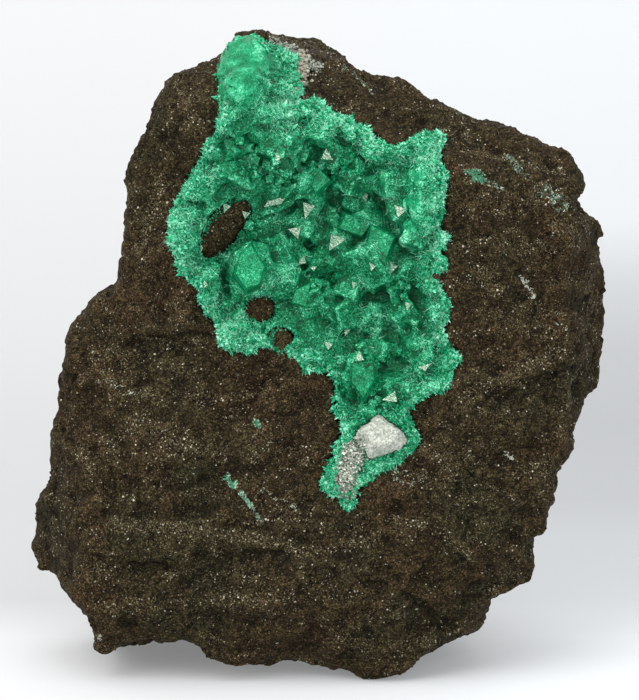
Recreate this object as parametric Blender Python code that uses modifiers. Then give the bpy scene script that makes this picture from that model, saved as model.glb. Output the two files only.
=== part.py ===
"""A bornite specimen: a broken block of dark brown ore with a pocket lined by green crystals.

The block stands on its lower edge, leaning back a little, with the crystal pocket towards -Y.
Shapes are worked in millimetres in the frame of the broken face, x to its right, y into the rock
and z up the face. `place` then leans them back and sets them on the floor, in metres, centred on
the specimen's footprint.
"""

import math
import random

import bmesh
import bpy
import numpy as np
from mathutils import Matrix, Vector, noise
from mathutils.bvhtree import BVHTree

MM = 0.001
GAP = 0.3            # clearance between two neighbouring pieces
SHARP_GAP = 0.42     # the same between sharp-edged walls, which move less than their corners do
WIDE = 60.0          # reaches past the whole block on every side
LEAN = 6.0           # how far the broken face leans back, in degrees
PLATE_FRONT = -30.0  # in front of every crystal
PLATE_BACK = 10.0    # behind every hollow
BLOCK_FRONT = -16.0  # the broken face that carries the pocket
BLOCK_BACK = 22.0
RIM_FRONT = -7.0     # in front of this depth the block's edge is rounded off
RIM_BACK = 1.0       # behind this depth the block narrows
FRONT_DRAW_IN = 0.055  # how much smaller the outline is at the very front, as a share
BACK_DRAW_IN = 0.2   # and at the very back
FACE_MIDDLE = (1.0, 30.0)  # across and up, the point that the outline draws in towards
FOOT_TOP = 18.0      # below this height the outline draws in less, so that the foot stays broad
BLOCK_VOXEL = 1.0
BLOCK_TRIANGLES = 3100
FOOT_DEPTH = -8.0    # the block's front edge, in front of this depth, sets the floor's height
FLOOR_TRIM = 0.3     # cut off the lowest point of that edge, so that it has a flat to stand on
CREST_FRONT = -5.0   # the crust stays in front of this depth where the rock falls away behind it
CREST_DEPTH = -2.0   # how far back the crust and the grey calcite reach over the crest
CREST_HEIGHT = 77.9  # where the lining ends at the crest, with only crystals above it
BEHIND = 12.0        # stands for the depth under points past the block's outline
CREST_BITE = 1.2     # the least depth that the crust is let into the rock
FIELD_SIDES = (-20, 20)  # the stretch of the face that the crust's reliefs cover
FIELD_HEIGHTS = (18, 84)
SOCKET_CELL = 3.3    # grid of the hollow that the crust grows in
LINING_CELL = 2.2    # and of the crust's own surface
CRUST_THICKNESS = 2.0
CRUST_PROUD = 0.5    # how far the crust's rim stands above the rock face
RIM_WIDTH = 3.0      # from the crust's edge in to where the pocket has its full depth
BED_ALLOWANCE = 1.2  # the gap behind the crust, measured straight back, over that across its bed
LINING_LUMPS = (2.6, 0.35)  # size and height of the lumps between the crystals

# Roughness of the block: size of the lumps, their height and where the pattern starts.
BLOCK_LUMPS = [(10.0, 0.6, 0), (4.0, 0.12, 40)]
# Chips: width, height, slope, pattern number and how much weaker they are on the front.
BLOCK_CHIPS = [(10.0, 0.8, 0.16, 5, 0.6), (5.0, 0.3, 0.14, 8, 0.2)]
# Bands across the lower front: spacing, height, stretch sideways and where they fade upwards.
BANDS = (3.4, 0.55, 4.5, (34.0, 46.0))
LEDGE_STEP = 0.45    # half the height over which a ledge rises
LEDGE_FADE = 4.0     # how far above and below it the ledge dies away

# The outline of the block seen from the front, clockwise from the top left of its crest.
BLOCK_OUTLINE = [
    (-11.5, 75.4), (-10.3, 77.2), (-9.6, 79), (-7.8, 79.4), (-6.6, 78.8), (-4.1, 78.1), (-2, 78.2),
    (0.6, 77.5), (2, 76.5), (3.7, 76), (4.7, 74.4), (6.4, 73.4), (8.9, 73.5), (11.3, 73.1),
    (12.5, 71.8), (14.8, 70.8), (16.7, 69.9), (19.7, 68.2), (22.2, 67.7), (26, 66.2), (29.6, 64.9),
    (31.3, 63.9), (31.6, 62.8), (32.6, 61.7), (32.6, 60.3), (32.1, 58.5), (32, 57.1), (34.1, 56.4),
    (35.8, 55.6), (36.3, 54.7), (35.2, 52.6), (35.7, 50.6), (36.3, 47), (36.5, 44), (36.1, 40.4),
    (35.7, 37.5), (35.4, 35.5), (34.1, 34.6), (32.7, 31.9), (32.5, 29.4), (31.4, 27.7),
    (29.6, 25.8), (29.1, 23.8), (28.3, 21.3), (27.2, 17.5), (26.3, 14.4), (25.2, 12.3),
    (24.6, 11.2), (22.8, 10.9), (22.3, 9.9), (21.8, 8.7), (21.6, 6.6), (21.1, 5.3), (19.5, 4.5),
    (17.7, 3.8), (16.1, 3.1), (13.9, 2.7), (12.3, 1.9), (10.3, 0.7), (6.8, 0.1), (3.1, 0),
    (0.4, 0.4), (-1.7, 1.1), (-3.3, 1.5), (-5.8, 1), (-7.2, 1.2), (-9.7, 2.5), (-11.9, 3.6),
    (-14.1, 4.5), (-16.9, 4.7), (-20.9, 3.8), (-23.4, 3.1), (-25.1, 2.1), (-26.4, 2), (-27.6, 3.7),
    (-28.2, 7.8), (-29.2, 9.2), (-31, 10.4), (-32.8, 11.8), (-34.1, 12), (-35.3, 12.8),
    (-36.2, 14.6), (-36.7, 16.6), (-36.3, 18.1), (-35.2, 19.3), (-34.1, 21.3), (-32.6, 24.1),
    (-32.1, 26.9), (-31.9, 33), (-31.5, 36.2), (-30.2, 40.2), (-29.8, 42.3), (-28.8, 44.3),
    (-27, 46.5), (-24.5, 47.6), (-23.6, 50.1), (-23.4, 52.8), (-22.9, 58), (-22.2, 62),
    (-21.3, 65.2), (-20.5, 67.5), (-19.4, 70.9), (-18.9, 72.1), (-17.5, 73.5), (-15.3, 74.1),
    (-14.6, 74.9), (-12, 74.9),
]

# The outline of the green crust, clockwise from the top left of its knob, where it runs on over
# the block's crest.
CRUST_OUTLINE = [
    (-10.4, 79), (-10.2, 83), (-6.2, 83), (-5.9, 78.6), (-5.6, 77.4), (-3.8, 77), (-2.1, 76.2),
    (-2.2, 74.2),
    (-1.1, 71.9), (-1.9, 70.7), (0.4, 70.8), (1.4, 69.8), (3.5, 68.8), (4.6, 69), (5, 67.6),
    (6.7, 67.6), (7.3, 66.5), (9.6, 65.1), (10.5, 65.1), (11.8, 66.2), (15, 66.9), (15.9, 66.2),
    (15.6, 64), (16.1, 60.8), (15.8, 56.7), (15.3, 55.2), (16.5, 54), (15.5, 52.3), (16.5, 51.1),
    (15.8, 50.1), (14.3, 49.7), (15.6, 48.2), (16.6, 46.4), (16.5, 44.4), (15.8, 43.4),
    (16.4, 41.6), (18, 39.1), (16.9, 38.1), (17.1, 36.8), (16.2, 35.7), (12.9, 34.4), (11.2, 33.2),
    (12.3, 31.4), (13, 29.4), (12.3, 28.3), (10.2, 26.5), (8.3, 25.8), (7.2, 24.4), (5.5, 23.7),
    (5.1, 21.8), (4.3, 20.7), (3.5, 21.3), (2.9, 22.8), (1.4, 22.9), (0.6, 24.7), (2, 26.8),
    (2.6, 27.9), (2, 29), (3.3, 30.4), (3.2, 32), (1.7, 33.6), (2.5, 34.1), (2.2, 37), (1.5, 37.6),
    (-1.2, 37.8), (-2.1, 39.2), (-3.3, 40.4), (-5, 40.6), (-6.3, 40.8), (-8.2, 40.1),
    (-10.2, 40.6), (-11.4, 41.4), (-11.5, 42.5), (-13.5, 45.5), (-14, 48.1), (-16.4, 50),
    (-17.2, 52.8), (-17.7, 55.2), (-17.5, 56.7), (-15.9, 60), (-14, 63.3), (-13, 65.1),
    (-11.8, 66.6), (-11, 68.7), (-11, 70), (-12, 71.1), (-12.3, 72.7), (-12, 75.2), (-11.1, 77.3),
]

# Grey calcite that forms the crest beside the crust's knob.
GREY_CAP_OUTLINE = [
    (-7, 84), (-6.2, 78), (-4, 76.4), (-2.8, 74), (-1.4, 71.8), (-0.5, 72.7), (-0.1, 74.4),
    (1.0, 75), (2.9, 75.3), (4.4, 76), (6, 84),
]
GREY_CAP_DEPTH = 3.0

# Grey calcite in the crust's tail, and the white crystal that sits on it.
GREY_VEIN_OUTLINE = [
    (4.2, 28.7), (5.1, 28.5), (5.9, 27.5), (6.1, 26.6), (5.2, 25.3), (4.7, 24.1), (4.4, 23),
    (3.7, 23.3), (3.3, 24.4), (3, 25.4), (3.3, 26.8), (3.6, 27.9),
]
GREY_VEIN_DEPTH = 1.2
WHITE_OUTLINE = [
    (5.1, 30.5), (7.9, 32.5), (8.7, 31.9), (10.9, 30.4), (11.3, 29.4), (10.5, 28.7), (6.9, 27.4),
    (6.4, 28.4), (5.2, 29.5),
]
WHITE_HEIGHT = 2.9   # how far the crystal stands above the crust
WHITE_SUNK = 0.9     # and how far it is let into it
WHITE_VOXEL = 0.3
WHITE_TRIANGLES = 130
# The crystal's faces: a point across, up and above the crust, and the way each looks.
WHITE_FACETS = {
    "broad face": ((8, 30, 2.7), 8, 14),
    "upper face": ((8, 31.2, 2.0), -6, 58),
    "lower face": ((8.4, 28.6, 1.7), 14, -52),
    "left face": ((6, 30, 1.7), -56, -8),
    "right face": ((10.4, 30, 1.6), 60, 6),
}

# Broken faces of the block: a point on each, the way it looks round (0 is towards the viewer,
# 90 to the right) and the way it looks up, in degrees.
FRONT_FACETS = {
    "main face": ((3, -16, 34), 1, 0),
    "upper left face": ((-13, -16, 60), -23, 5),
    "lower left face": ((-22, -16, 26), -13, -4),
    "right face": ((22, -16, 46), 15, 3),
    "lower right face": ((18, -15.6, 16), 22, -20),
    "foot": ((0, -15.5, 7), -4, -34),
    "brow": ((5, -15.6, 69), 5, 24),
    "left shoulder": ((-19, -11.5, 70), -34, 36),
    "right slope": ((24, -11.5, 64.5), 18, 46),
    "left edge": ((-30.5, -9.5, 32), -60, 0),
    "right edge": ((33.2, -9.5, 42), 62, 0),
}
BACK_FACETS = {
    "back": ((2, 20.5, 34), 176, 6),
    "upper back": ((0, 14, 68), 168, 42),
    "left back": ((-22, 15, 34), -128, 6),
    "right back": ((24, 13, 42), 132, 8),
    "low left back": ((-20, 17, 16), -150, -12),
    "low right back": ((16, 16, 12), 140, -22),
    "chipped back corner": ((18, 12, 62), 140, 44),
}

# Ledges across the front: the ends of the line, then how far the side above it stands proud.
LEDGES = [
    ((-23, 41.2), (-12.6, 42.6), 1.0),
    ((22.4, 34.8), (34, 39.4), 1.5),
    ((27.5, 47.4), (36, 46.6), 0.8),
    ((-31, 22.5), (-20, 25.5), 0.6),
    ((-24, 14.6), (-6, 17.4), 0.5),
    ((8, 14.6), (15, 8.2), 0.7),
    ((14, 19.5), (20.5, 12), 0.7),
    ((-2, 31), (-20, 35.5), -0.4),
    ((18, 26), (30, 31.5), 0.6),
    ((4, 70.2), (17, 67.6), 0.7),
]

# Hollows of the crust: centre, reach across and up, and depth into the rock. A bulge is negative.
HOLLOWS = {
    "main pocket": ((3.0, 53.5), (11.5, 11.5), 7.2),
    "lower pocket": ((9.4, 41.0), (7.0, 6.5), 4.6),
    "groove beside the tall crystal": ((3.6, 36.0), (1.7, 3.4), 2.2),
    "left groove": ((-10.6, 49.5), (2.6, 7.5), 2.6),
    "right cavity": ((12.2, 48.2), (2.6, 1.5), 2.4),
    "knob": ((-7.6, 74.2), (5.5, 5.5), -3.6),
    "upper slope": ((-6.5, 66.0), (5.0, 4.5), -1.6),
    "left roll": ((-15.2, 56.0), (2.2, 6.0), -1.2),
    "lower lobe": ((-9.5, 42.6), (3.0, 2.4), -0.8),
    "right roll": ((14.2, 60.0), (1.6, 6.0), -1.0),
}

# Places where the crust is missing and the ore shows: centre, half sizes and tilt in degrees.
WINDOWS = [
    ((-11.0, 55.4), (4.4, 1.7), 51),
    ((-6.7, 45.5), (1.7, 1.5), 0),
    ((-4.0, 41.9), (1.3, 1.1), 0),
]
WINDOW_SUNK = 0.9    # how far the ore in a window lies below the crust's surface
WINDOW_CORNERS = 9
WINDOW_SEED = 4

# Large crystals of the pocket: kind, foot on the crust, radius, length, the way the tip points in
# the picture (degrees, 0 to the right), how far it leans out of the line of sight and its turn.
LARGE_CRYSTALS = [
    ("rounded", (-7.6, 48.6), 3.7, 10.5, 90, 62, 10),
    ("rounded", (-4.2, 48.6), 3.0, 7.4, 60, 40, 30),
    ("rounded", (5.7, 35.8), 2.6, 10.0, 93, 62, 0),
    ("rounded", (13.4, 61.6), 2.1, 13.6, -90, 84, 20),
    ("rhomb", (7.2, 50.6), 4.4, 12.0, 96, 24, 15),
    ("rhomb", (10.4, 48.6), 3.2, 9.6, 60, 34, 50),
    ("dogtooth", (3.4, 54.6), 2.8, 8.4, 240, 30, 0),
    ("rhomb", (6.6, 55.6), 3.2, 9.6, 110, 20, 30),
    ("dogtooth", (-1.8, 56.2), 2.6, 8.0, 300, 42, 10),
    ("dogtooth", (-0.4, 59.2), 2.2, 7.4, 285, 44, 25),
    ("rhomb", (-5.4, 58.2), 1.9, 9.4, 24, 66, 5),
    ("rhomb", (-0.8, 61.6), 2.8, 8.4, 250, 46, 20),
    ("rhomb", (0.6, 50.6), 2.5, 8.0, 40, 24, 40),
    ("rhomb", (4.2, 47.8), 2.4, 7.6, 300, 20, 10),
    ("dogtooth", (10.8, 58.2), 2.4, 7.6, 240, 42, 0),
    ("rhomb", (13.0, 54.0), 2.2, 7.6, 180, 44, 35),
    ("rhomb", (-2.6, 52.0), 2.3, 8.0, 160, 30, 15),
    ("rhomb", (-1.2, 45.8), 2.4, 8.6, 50, 46, 30),
    ("rhomb", (3.6, 44.0), 2.5, 7.8, 120, 28, 0),
    ("dogtooth", (7.2, 43.8), 2.5, 7.8, 90, 28, 20),
    ("rhomb", (10.6, 44.4), 2.6, 8.4, 40, 30, 45),
    ("rhomb", (12.0, 40.4), 2.4, 8.0, 20, 34, 5),
    ("rhomb", (8.4, 40.2), 2.1, 6.8, 260, 24, 25),
    ("dogtooth", (13.4, 38.2), 2.1, 6.8, 70, 46, 10),
    ("rhomb", (9.6, 36.2), 2.0, 6.8, 250, 30, 40),
    ("rhomb", (4.6, 62.0), 2.8, 8.6, 262, 44, 15),
    ("rhomb", (9.6, 61.4), 2.4, 7.8, 250, 46, 50),
    ("rhomb", (-8.8, 62.8), 3.3, 8.4, 240, 26, 20),
    ("rhomb", (-4.4, 65.0), 3.0, 8.0, 300, 24, 10),
    ("rhomb", (-13.0, 60.2), 2.2, 7.2, 200, 40, 30),
    ("rhomb", (-15.0, 54.0), 2.0, 7.0, 190, 44, 0),
    ("rhomb", (-12.8, 48.2), 2.0, 6.8, 215, 40, 20),
    ("rhomb", (-9.8, 42.6), 1.9, 6.4, 240, 34, 35),
    ("rhomb", (-8.0, 72.4), 3.2, 8.6, 200, 24, 15),
    ("rhomb", (-7.4, 75.6), 2.4, 6.8, 80, 30, 40),
    ("rhomb", (-9.0, 76.5), 1.8, 4.8, 100, 74, 10),
    ("rhomb", (-7.6, 76.6), 2.0, 5.0, 84, 96, 30),
    ("rhomb", (-9.2, 68.4), 2.6, 7.8, 200, 30, 5),
    ("rhomb", (0.6, 67.2), 2.4, 7.0, 300, 24, 25),
]
SCATTERED_CRYSTALS = 52
SCATTER_SEED = 11
SCATTER_RADIUS = (1.0, 1.8)
SCATTER_SLENDER = (3.0, 4.2)  # length over radius
SCATTER_SPACING = 1.8
SCATTER_INSET = 0.9  # the least distance from the crust's edge
SCATTER_TILT = 0.7   # how far such a crystal may lean away from the surface's own direction
SCATTER_SIDES = (-17, 17)
SCATTER_HEIGHTS = (22, 78)
WINDOW_MARGIN = 1.2  # the least distance of such a crystal from a window
INLAY_MARGIN = 1.0   # and from the calcite set into the crust
CRYSTAL_SUNK = 0.42  # share of a crystal's length that is buried in the crust

# Colour, metallic share and roughness of each piece.
FINISHES = {
    "bornite_matrix": ((0.055, 0.042, 0.028), 0.35, 0.55),
    "green_crystal_crust": ((0.045, 0.30, 0.15), 0.0, 0.3),
    "grey_calcite_cap": ((0.26, 0.28, 0.23), 0.0, 0.5),
    "grey_calcite_vein": ((0.22, 0.26, 0.20), 0.0, 0.45),
    "white_calcite_crystal": ((0.62, 0.70, 0.58), 0.0, 0.3),
}


def clear_scene():
    for obj in list(bpy.data.objects):
        bpy.data.objects.remove(obj, do_unlink=True)


def ramp(t):
    """0 below 0, 1 above 1 and smooth between."""
    t = np.clip(t, 0.0, 1.0)
    return t * t * (3.0 - 2.0 * t)


def facing(turn, tilt):
    """The unit normal of a face that looks round by turn and up by tilt, in degrees."""
    turn, tilt = math.radians(turn), math.radians(tilt)
    across = math.cos(tilt)
    return np.array([math.sin(turn) * across, -math.cos(turn) * across, math.sin(tilt)])


def rim_distance(x, z, outline):
    """Distance from points on the face to an outline, positive inside it."""
    shape = np.broadcast(x, z).shape
    p = np.stack([np.broadcast_to(x, shape).ravel(), np.broadcast_to(z, shape).ravel()], 1)
    nearest = np.full(len(p), 1e9)
    inside = np.zeros(len(p), bool)
    for (ax, az), (bx, bz) in zip(outline, outline[1:] + outline[:1]):
        edge = np.array([bx - ax, bz - az])
        rel = p - np.array([ax, az])
        t = np.clip(rel @ edge / (edge @ edge), 0, 1)
        nearest = np.minimum(nearest, np.hypot(*(rel - t[:, None] * edge).T))
        if az != bz:
            crosses = (az > p[:, 1]) != (bz > p[:, 1])
            inside ^= crosses & (p[:, 0] < ax + (p[:, 1] - az) * (bx - ax) / (bz - az))
    return np.where(inside, nearest, -nearest).reshape(shape)


def offset(outline, amount):
    """The outline moved outwards by that amount, or inwards if it is negative."""
    p = np.array(outline, float)
    step = np.roll(p, -1, 0) - p
    step /= np.hypot(*step.T)[:, None]
    area = (p[:, 0] * np.roll(p[:, 1], -1) - p[:, 1] * np.roll(p[:, 0], -1)).sum()
    out = np.stack([step[:, 1], -step[:, 0]], 1) * math.copysign(1, area)
    corner = out + np.roll(out, 1, 0)
    corner /= np.hypot(*corner.T)[:, None]
    reach = amount / np.maximum((corner * out).sum(1), 0.6)
    return [tuple(point) for point in p + corner * reach[:, None]]


def lumps(points, size, octaves=3):
    """Smooth noise from about -1 to 1 for an array of points, with lumps of that size."""
    return np.array([noise.fractal(Vector(p) / size, 1.0, 2.0, octaves) for p in points])


def chips(points, cell, step, slope, seed):
    """Heights of flat, tilted breaks with sharp steps between them, like the chips of a blow."""
    rng = np.random.default_rng(seed)
    count = int(len(points) * BLOCK_VOXEL ** 2 / cell ** 2)
    centres = points[rng.choice(len(points), count, replace=False)]
    wander = np.stack([lumps(points + 30 * k, cell * 0.9) for k in range(3)], 1)
    moved = points + wander * cell * 0.3
    nearest = np.argmin(((moved[:, None, :] - centres[None, :, :]) ** 2).sum(2), 1)
    height = rng.uniform(-step, step, count)
    tilt = rng.normal(0, slope, (count, 3))
    rise = ((points - centres[nearest]) * tilt[nearest]).sum(1)
    return height[nearest] + np.clip(rise, -step, step)


def link(obj, collection):
    collection.objects.link(obj)
    return obj


def baked(obj):
    """Makes an object's modifiers part of its mesh."""
    graph = bpy.context.evaluated_depsgraph_get()
    mesh = bpy.data.meshes.new_from_object(obj.evaluated_get(graph))
    obj.modifiers.clear()
    old, obj.data = obj.data, mesh
    bpy.data.meshes.remove(old)
    return obj


def slab(name, outline, front, back, collection):
    """A closed plate of that outline between two depths."""
    curve = bpy.data.curves.new(name + "_outline", "CURVE")
    curve.dimensions = "2D"
    curve.fill_mode = "BOTH"
    curve.extrude = (back - front) / 2
    spline = curve.splines.new("POLY")
    spline.points.add(len(outline) - 1)
    for point, (x, z) in zip(spline.points, outline):
        point.co = (x, z, 0, 1)
    spline.use_cyclic_u = True
    drawn = link(bpy.data.objects.new(name + "_outline", curve), collection)
    graph = bpy.context.evaluated_depsgraph_get()
    mesh = bpy.data.meshes.new_from_object(drawn.evaluated_get(graph))
    bpy.data.objects.remove(drawn)
    upright = Matrix.Rotation(math.pi / 2, 4, "X")
    mesh.transform(Matrix.Translation((0, (front + back) / 2, 0)) @ upright)
    bm = bmesh.new()
    bm.from_mesh(mesh)
    bmesh.ops.remove_doubles(bm, verts=bm.verts, dist=1e-4)
    bmesh.ops.recalc_face_normals(bm, faces=bm.faces)
    bm.to_mesh(mesh)
    bm.free()
    mesh.name = name
    return link(bpy.data.objects.new(name, mesh), collection)


def remeshed(obj, voxel):
    modifier = obj.modifiers.new("even mesh", "REMESH")
    modifier.mode = "VOXEL"
    modifier.voxel_size = voxel
    return baked(obj)


def thinned(obj, triangles):
    """Fewer faces, with those left where the shape turns."""
    modifier = obj.modifiers.new("fewer faces", "DECIMATE")
    modifier.use_collapse_triangulate = True
    present = sum(len(face.vertices) - 2 for face in obj.data.polygons)
    modifier.ratio = min(1.0, triangles / present)
    return baked(obj)


def split(obj):
    """Bent faces as flat triangles, so that every cut meets the same surface."""
    obj.modifiers.new("triangles", "TRIANGULATE")
    return baked(obj)


def combined(obj, other, operation, own=False):
    modifier = obj.modifiers.new(operation.lower(), "BOOLEAN")
    modifier.operation = operation
    modifier.solver = "EXACT"
    modifier.use_self = own
    modifier.object = other
    return baked(obj)


def largest_part(obj):
    """Drops the crumbs that a cut leaves beside the body itself."""
    bm = bmesh.new()
    bm.from_mesh(obj.data)
    left, parts = set(bm.verts), []
    while left:
        found = {left.pop()}
        edge_of = list(found)
        while edge_of:
            vert = edge_of.pop()
            joined = {e.other_vert(vert) for e in vert.link_edges} - found
            found |= joined
            edge_of += joined
        left -= found
        parts.append(found)
    crumbs = [v for part in parts if part is not max(parts, key=len) for v in part]
    bmesh.ops.delete(bm, geom=crumbs, context="VERTS")
    bm.to_mesh(obj.data)
    bm.free()
    return obj


def grown(obj, name, amount, collection):
    """A copy whose walls are moved out by that amount."""
    copy = link(bpy.data.objects.new(name, obj.data.copy()), collection)
    modifier = copy.modifiers.new("clearance", "DISPLACE")
    modifier.mid_level = 0
    modifier.strength = amount
    return baked(copy)


def points_of(obj):
    co = np.empty(len(obj.data.vertices) * 3, np.float32)
    obj.data.vertices.foreach_get("co", co)
    return co.reshape(-1, 3).astype(float)


def normals_of(obj):
    normals = np.empty(len(obj.data.vertices) * 3, np.float32)
    obj.data.vertices.foreach_get("normal", normals)
    return normals.reshape(-1, 3).astype(float)


def set_points(obj, co):
    obj.data.vertices.foreach_set("co", co.astype(np.float32).ravel())
    obj.data.update()


def ledge_relief(x, z):
    """How far the ledges lift the front towards the viewer."""
    lift = np.zeros_like(x)
    for (ax, az), (bx, bz), proud in LEDGES:
        if bx < ax:
            ax, az, bx, bz = bx, bz, ax, az
        length = math.hypot(bx - ax, bz - az)
        ux, uz = (bx - ax) / length, (bz - az) / length
        along = ((x - ax) * ux + (z - az) * uz) / length
        above = (z - az) * ux - (x - ax) * uz
        ends = ramp((along + 0.25) / 0.4) * ramp((1.25 - along) / 0.4)
        lift += proud * ends * np.tanh(above / LEDGE_STEP) * np.exp(-np.abs(above) / LEDGE_FADE)
    return lift


def broken_to_shape(obj):
    """Rounds the plate's edges off and breaks it along its facets."""
    co = points_of(obj)
    front_share = np.clip((RIM_FRONT - co[:, 1]) / (RIM_FRONT - BLOCK_FRONT), 0, 1)
    back_share = np.clip((co[:, 1] - RIM_BACK) / (BLOCK_BACK - RIM_BACK), 0, 1)
    draw_in = 1 - FRONT_DRAW_IN * front_share ** 2 - BACK_DRAW_IN * back_share ** 1.6
    middle_x, middle_z = FACE_MIDDLE
    low = 1 - ramp((co[:, 2] - 2) / (FOOT_TOP - 2))
    co[:, 0] = middle_x + (co[:, 0] - middle_x) * draw_in
    co[:, 2] = middle_z + (co[:, 2] - middle_z) * (draw_in + (1 - draw_in) * low)
    for point, turn, tilt in [*FRONT_FACETS.values(), *BACK_FACETS.values()]:
        n = facing(turn, tilt)
        over = np.maximum((co - np.array(point)) @ n, 0)
        co -= over[:, None] * n
    set_points(obj, co)


def roughened(obj):
    """Chips, lumps, bands and ledges. The crust's ground and the outline's edge stay plain."""
    co = points_of(obj)
    normals = normals_of(obj)
    frontal = ramp((-normals[:, 1] - 0.25) / 0.4)
    from_rim = rim_distance(co[:, 0], co[:, 2], CRUST_OUTLINE)
    near_crust = ramp((RIM_WIDTH + from_rim) / RIM_WIDTH) * frontal
    side = 1 - np.abs(normals[:, 1])
    outer = side * ramp((co[:, 1] + 11) / 3) * ramp((5 - co[:, 1]) / 3)
    lift = np.zeros(len(co))
    for size, height, start in BLOCK_LUMPS:
        lift += height * lumps(co + start, size)
    for width, height, slope, pattern, weaker in BLOCK_CHIPS:
        lift += chips(co, width, height, slope, pattern) * (1 - weaker * frontal)
    spacing, height, stretch, (low, high) = BANDS
    lower = 1 - ramp((co[:, 2] - low) / (high - low))
    lift += height * lumps(co / [stretch, 1, 1] + 90, spacing, 2) * lower * frontal
    lift += ledge_relief(co[:, 0], co[:, 2]) * frontal
    lift = lift * (1 - near_crust) * (1 - 0.75 * outer)
    set_points(obj, co + normals * lift[:, None])


def leaned():
    return Matrix.Rotation(math.radians(-LEAN), 4, "X")


def make_block(shapes, cutters):
    block = slab("bornite_matrix", BLOCK_OUTLINE, BLOCK_FRONT - 2, BLOCK_BACK, shapes)
    remeshed(block, BLOCK_VOXEL)
    broken_to_shape(block)
    roughened(block)
    thinned(block, BLOCK_TRIANGLES)
    block.data.transform(leaned())
    co = points_of(block)
    floor = co[co[:, 1] < FOOT_DEPTH][:, 2].min() + FLOOR_TRIM
    under = [(-WIDE, floor - WIDE), (WIDE, floor - WIDE), (WIDE, floor), (-WIDE, floor)]
    combined(block, slab("floor_cutter", under, -WIDE, WIDE, cutters), "DIFFERENCE")
    block.data.transform(leaned().inverted())
    return largest_part(block)


class CrustSurface:
    """Depth of the crust's own surface over the block, between its crystals."""

    def __init__(self, block):
        graph = bpy.context.evaluated_depsgraph_get()
        self.tree = BVHTree.FromObject(block, graph)

    def ground(self, x, z):
        """Depth of the bare rock under points of the picture."""
        depth = np.full(np.broadcast(x, z).shape, BEHIND)
        grid = np.broadcast_arrays(x, z)
        for at, (px, pz) in enumerate(zip(grid[0].flat, grid[1].flat)):
            hit = self.tree.ray_cast(Vector((px, -WIDE, pz)), Vector((0, 1, 0)))[0]
            if hit is not None:
                depth.flat[at] = min(hit.y, BEHIND)
        return depth

    def level(self, x, z):
        sunk = np.zeros(np.broadcast(x, z).shape)
        for (cx, cz), (rx, rz), depth in HOLLOWS.values():
            r = np.hypot((x - cx) / rx, (z - cz) / rz)
            sunk = sunk + depth * np.exp(-(r ** 2.6))
        rim = rim_distance(x, z, CRUST_OUTLINE)
        ground = np.minimum(self.ground(x, z), CREST_FRONT)
        return ground - CRUST_PROUD + sunk * ramp(rim / RIM_WIDTH)

    def cap_bed(self, x, z):
        return np.minimum(self.ground(x, z), CREST_DEPTH) + GREY_CAP_DEPTH

    def vein_bed(self, x, z):
        return self.level(x, z) + GREY_VEIN_DEPTH

    def at(self, x, z):
        """The surface's point at that place of the picture."""
        return Vector((x, float(self.level(np.array(x), np.array(z))), z))

    def outward(self, x, z):
        """The way the surface looks, as a unit vector."""
        across = self.at(x + 1, z) - self.at(x - 1, z)
        up = self.at(x, z + 1) - self.at(x, z - 1)
        return across.cross(up).normalized()

    def socket(self, x, z):
        """Depth of the hollow in the ore that the crust grows in."""
        ground = np.minimum(self.ground(x, z), CREST_DEPTH)
        return np.where(ground > CREST_FRONT, ground + CREST_BITE, self.level(x, z) + CRUST_THICKNESS)

    def window_bed(self, x, z):
        return self.level(x, z) + WINDOW_SUNK


def window_outlines():
    """The outline of each window in the crust, a little uneven."""
    rng = random.Random(WINDOW_SEED)
    outlines = []
    for (cx, cz), (rx, rz), tilt in WINDOWS:
        c, s = math.cos(math.radians(tilt)), math.sin(math.radians(tilt))
        outline = []
        for corner in range(WINDOW_CORNERS):
            angle, size = 2 * math.pi * corner / WINDOW_CORNERS, rng.uniform(0.85, 1.12)
            along, across = rx * size * math.cos(angle), rz * size * math.sin(angle)
            outline.append((cx + along * c - across * s, cz + along * s + across * c))
        outlines.append(outline)
    return outlines


def add_crystal(bm, kind, base, axis, radius, length, spin):
    """One crystal pointing along its axis, with part of its length buried."""
    if kind == "rhomb":
        made = bmesh.ops.create_cube(bm, size=1.0)["verts"]
        on_corner = Vector((1, 1, 1)).rotation_difference(Vector((0, 0, 1))).to_matrix().to_4x4()
        shape = Matrix.Diagonal((math.sqrt(1.5), math.sqrt(1.5), 2 / math.sqrt(3), 1)) @ on_corner
    else:
        rings = 2 if kind == "dogtooth" else 4
        made = bmesh.ops.create_uvsphere(bm, u_segments=6, v_segments=rings, radius=1.0)["verts"]
        shape = Matrix.Identity(4)
    drawn = Matrix.Diagonal((radius, radius, length / 2, 1)) @ shape
    turned = axis.to_track_quat("Z", "Y").to_matrix().to_4x4() @ Matrix.Rotation(spin, 4, "Z")
    centre = base + axis * length * (0.5 - CRYSTAL_SUNK)
    bmesh.ops.transform(bm, matrix=Matrix.Translation(centre) @ turned @ drawn, verts=made)


def towards(turn, lean):
    """A direction from its turn in the picture and its lean out of the line of sight."""
    turn, lean = math.radians(turn), math.radians(lean)
    across = math.sin(lean)
    return Vector((math.cos(turn) * across, -math.cos(lean), math.sin(turn) * across))


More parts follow.
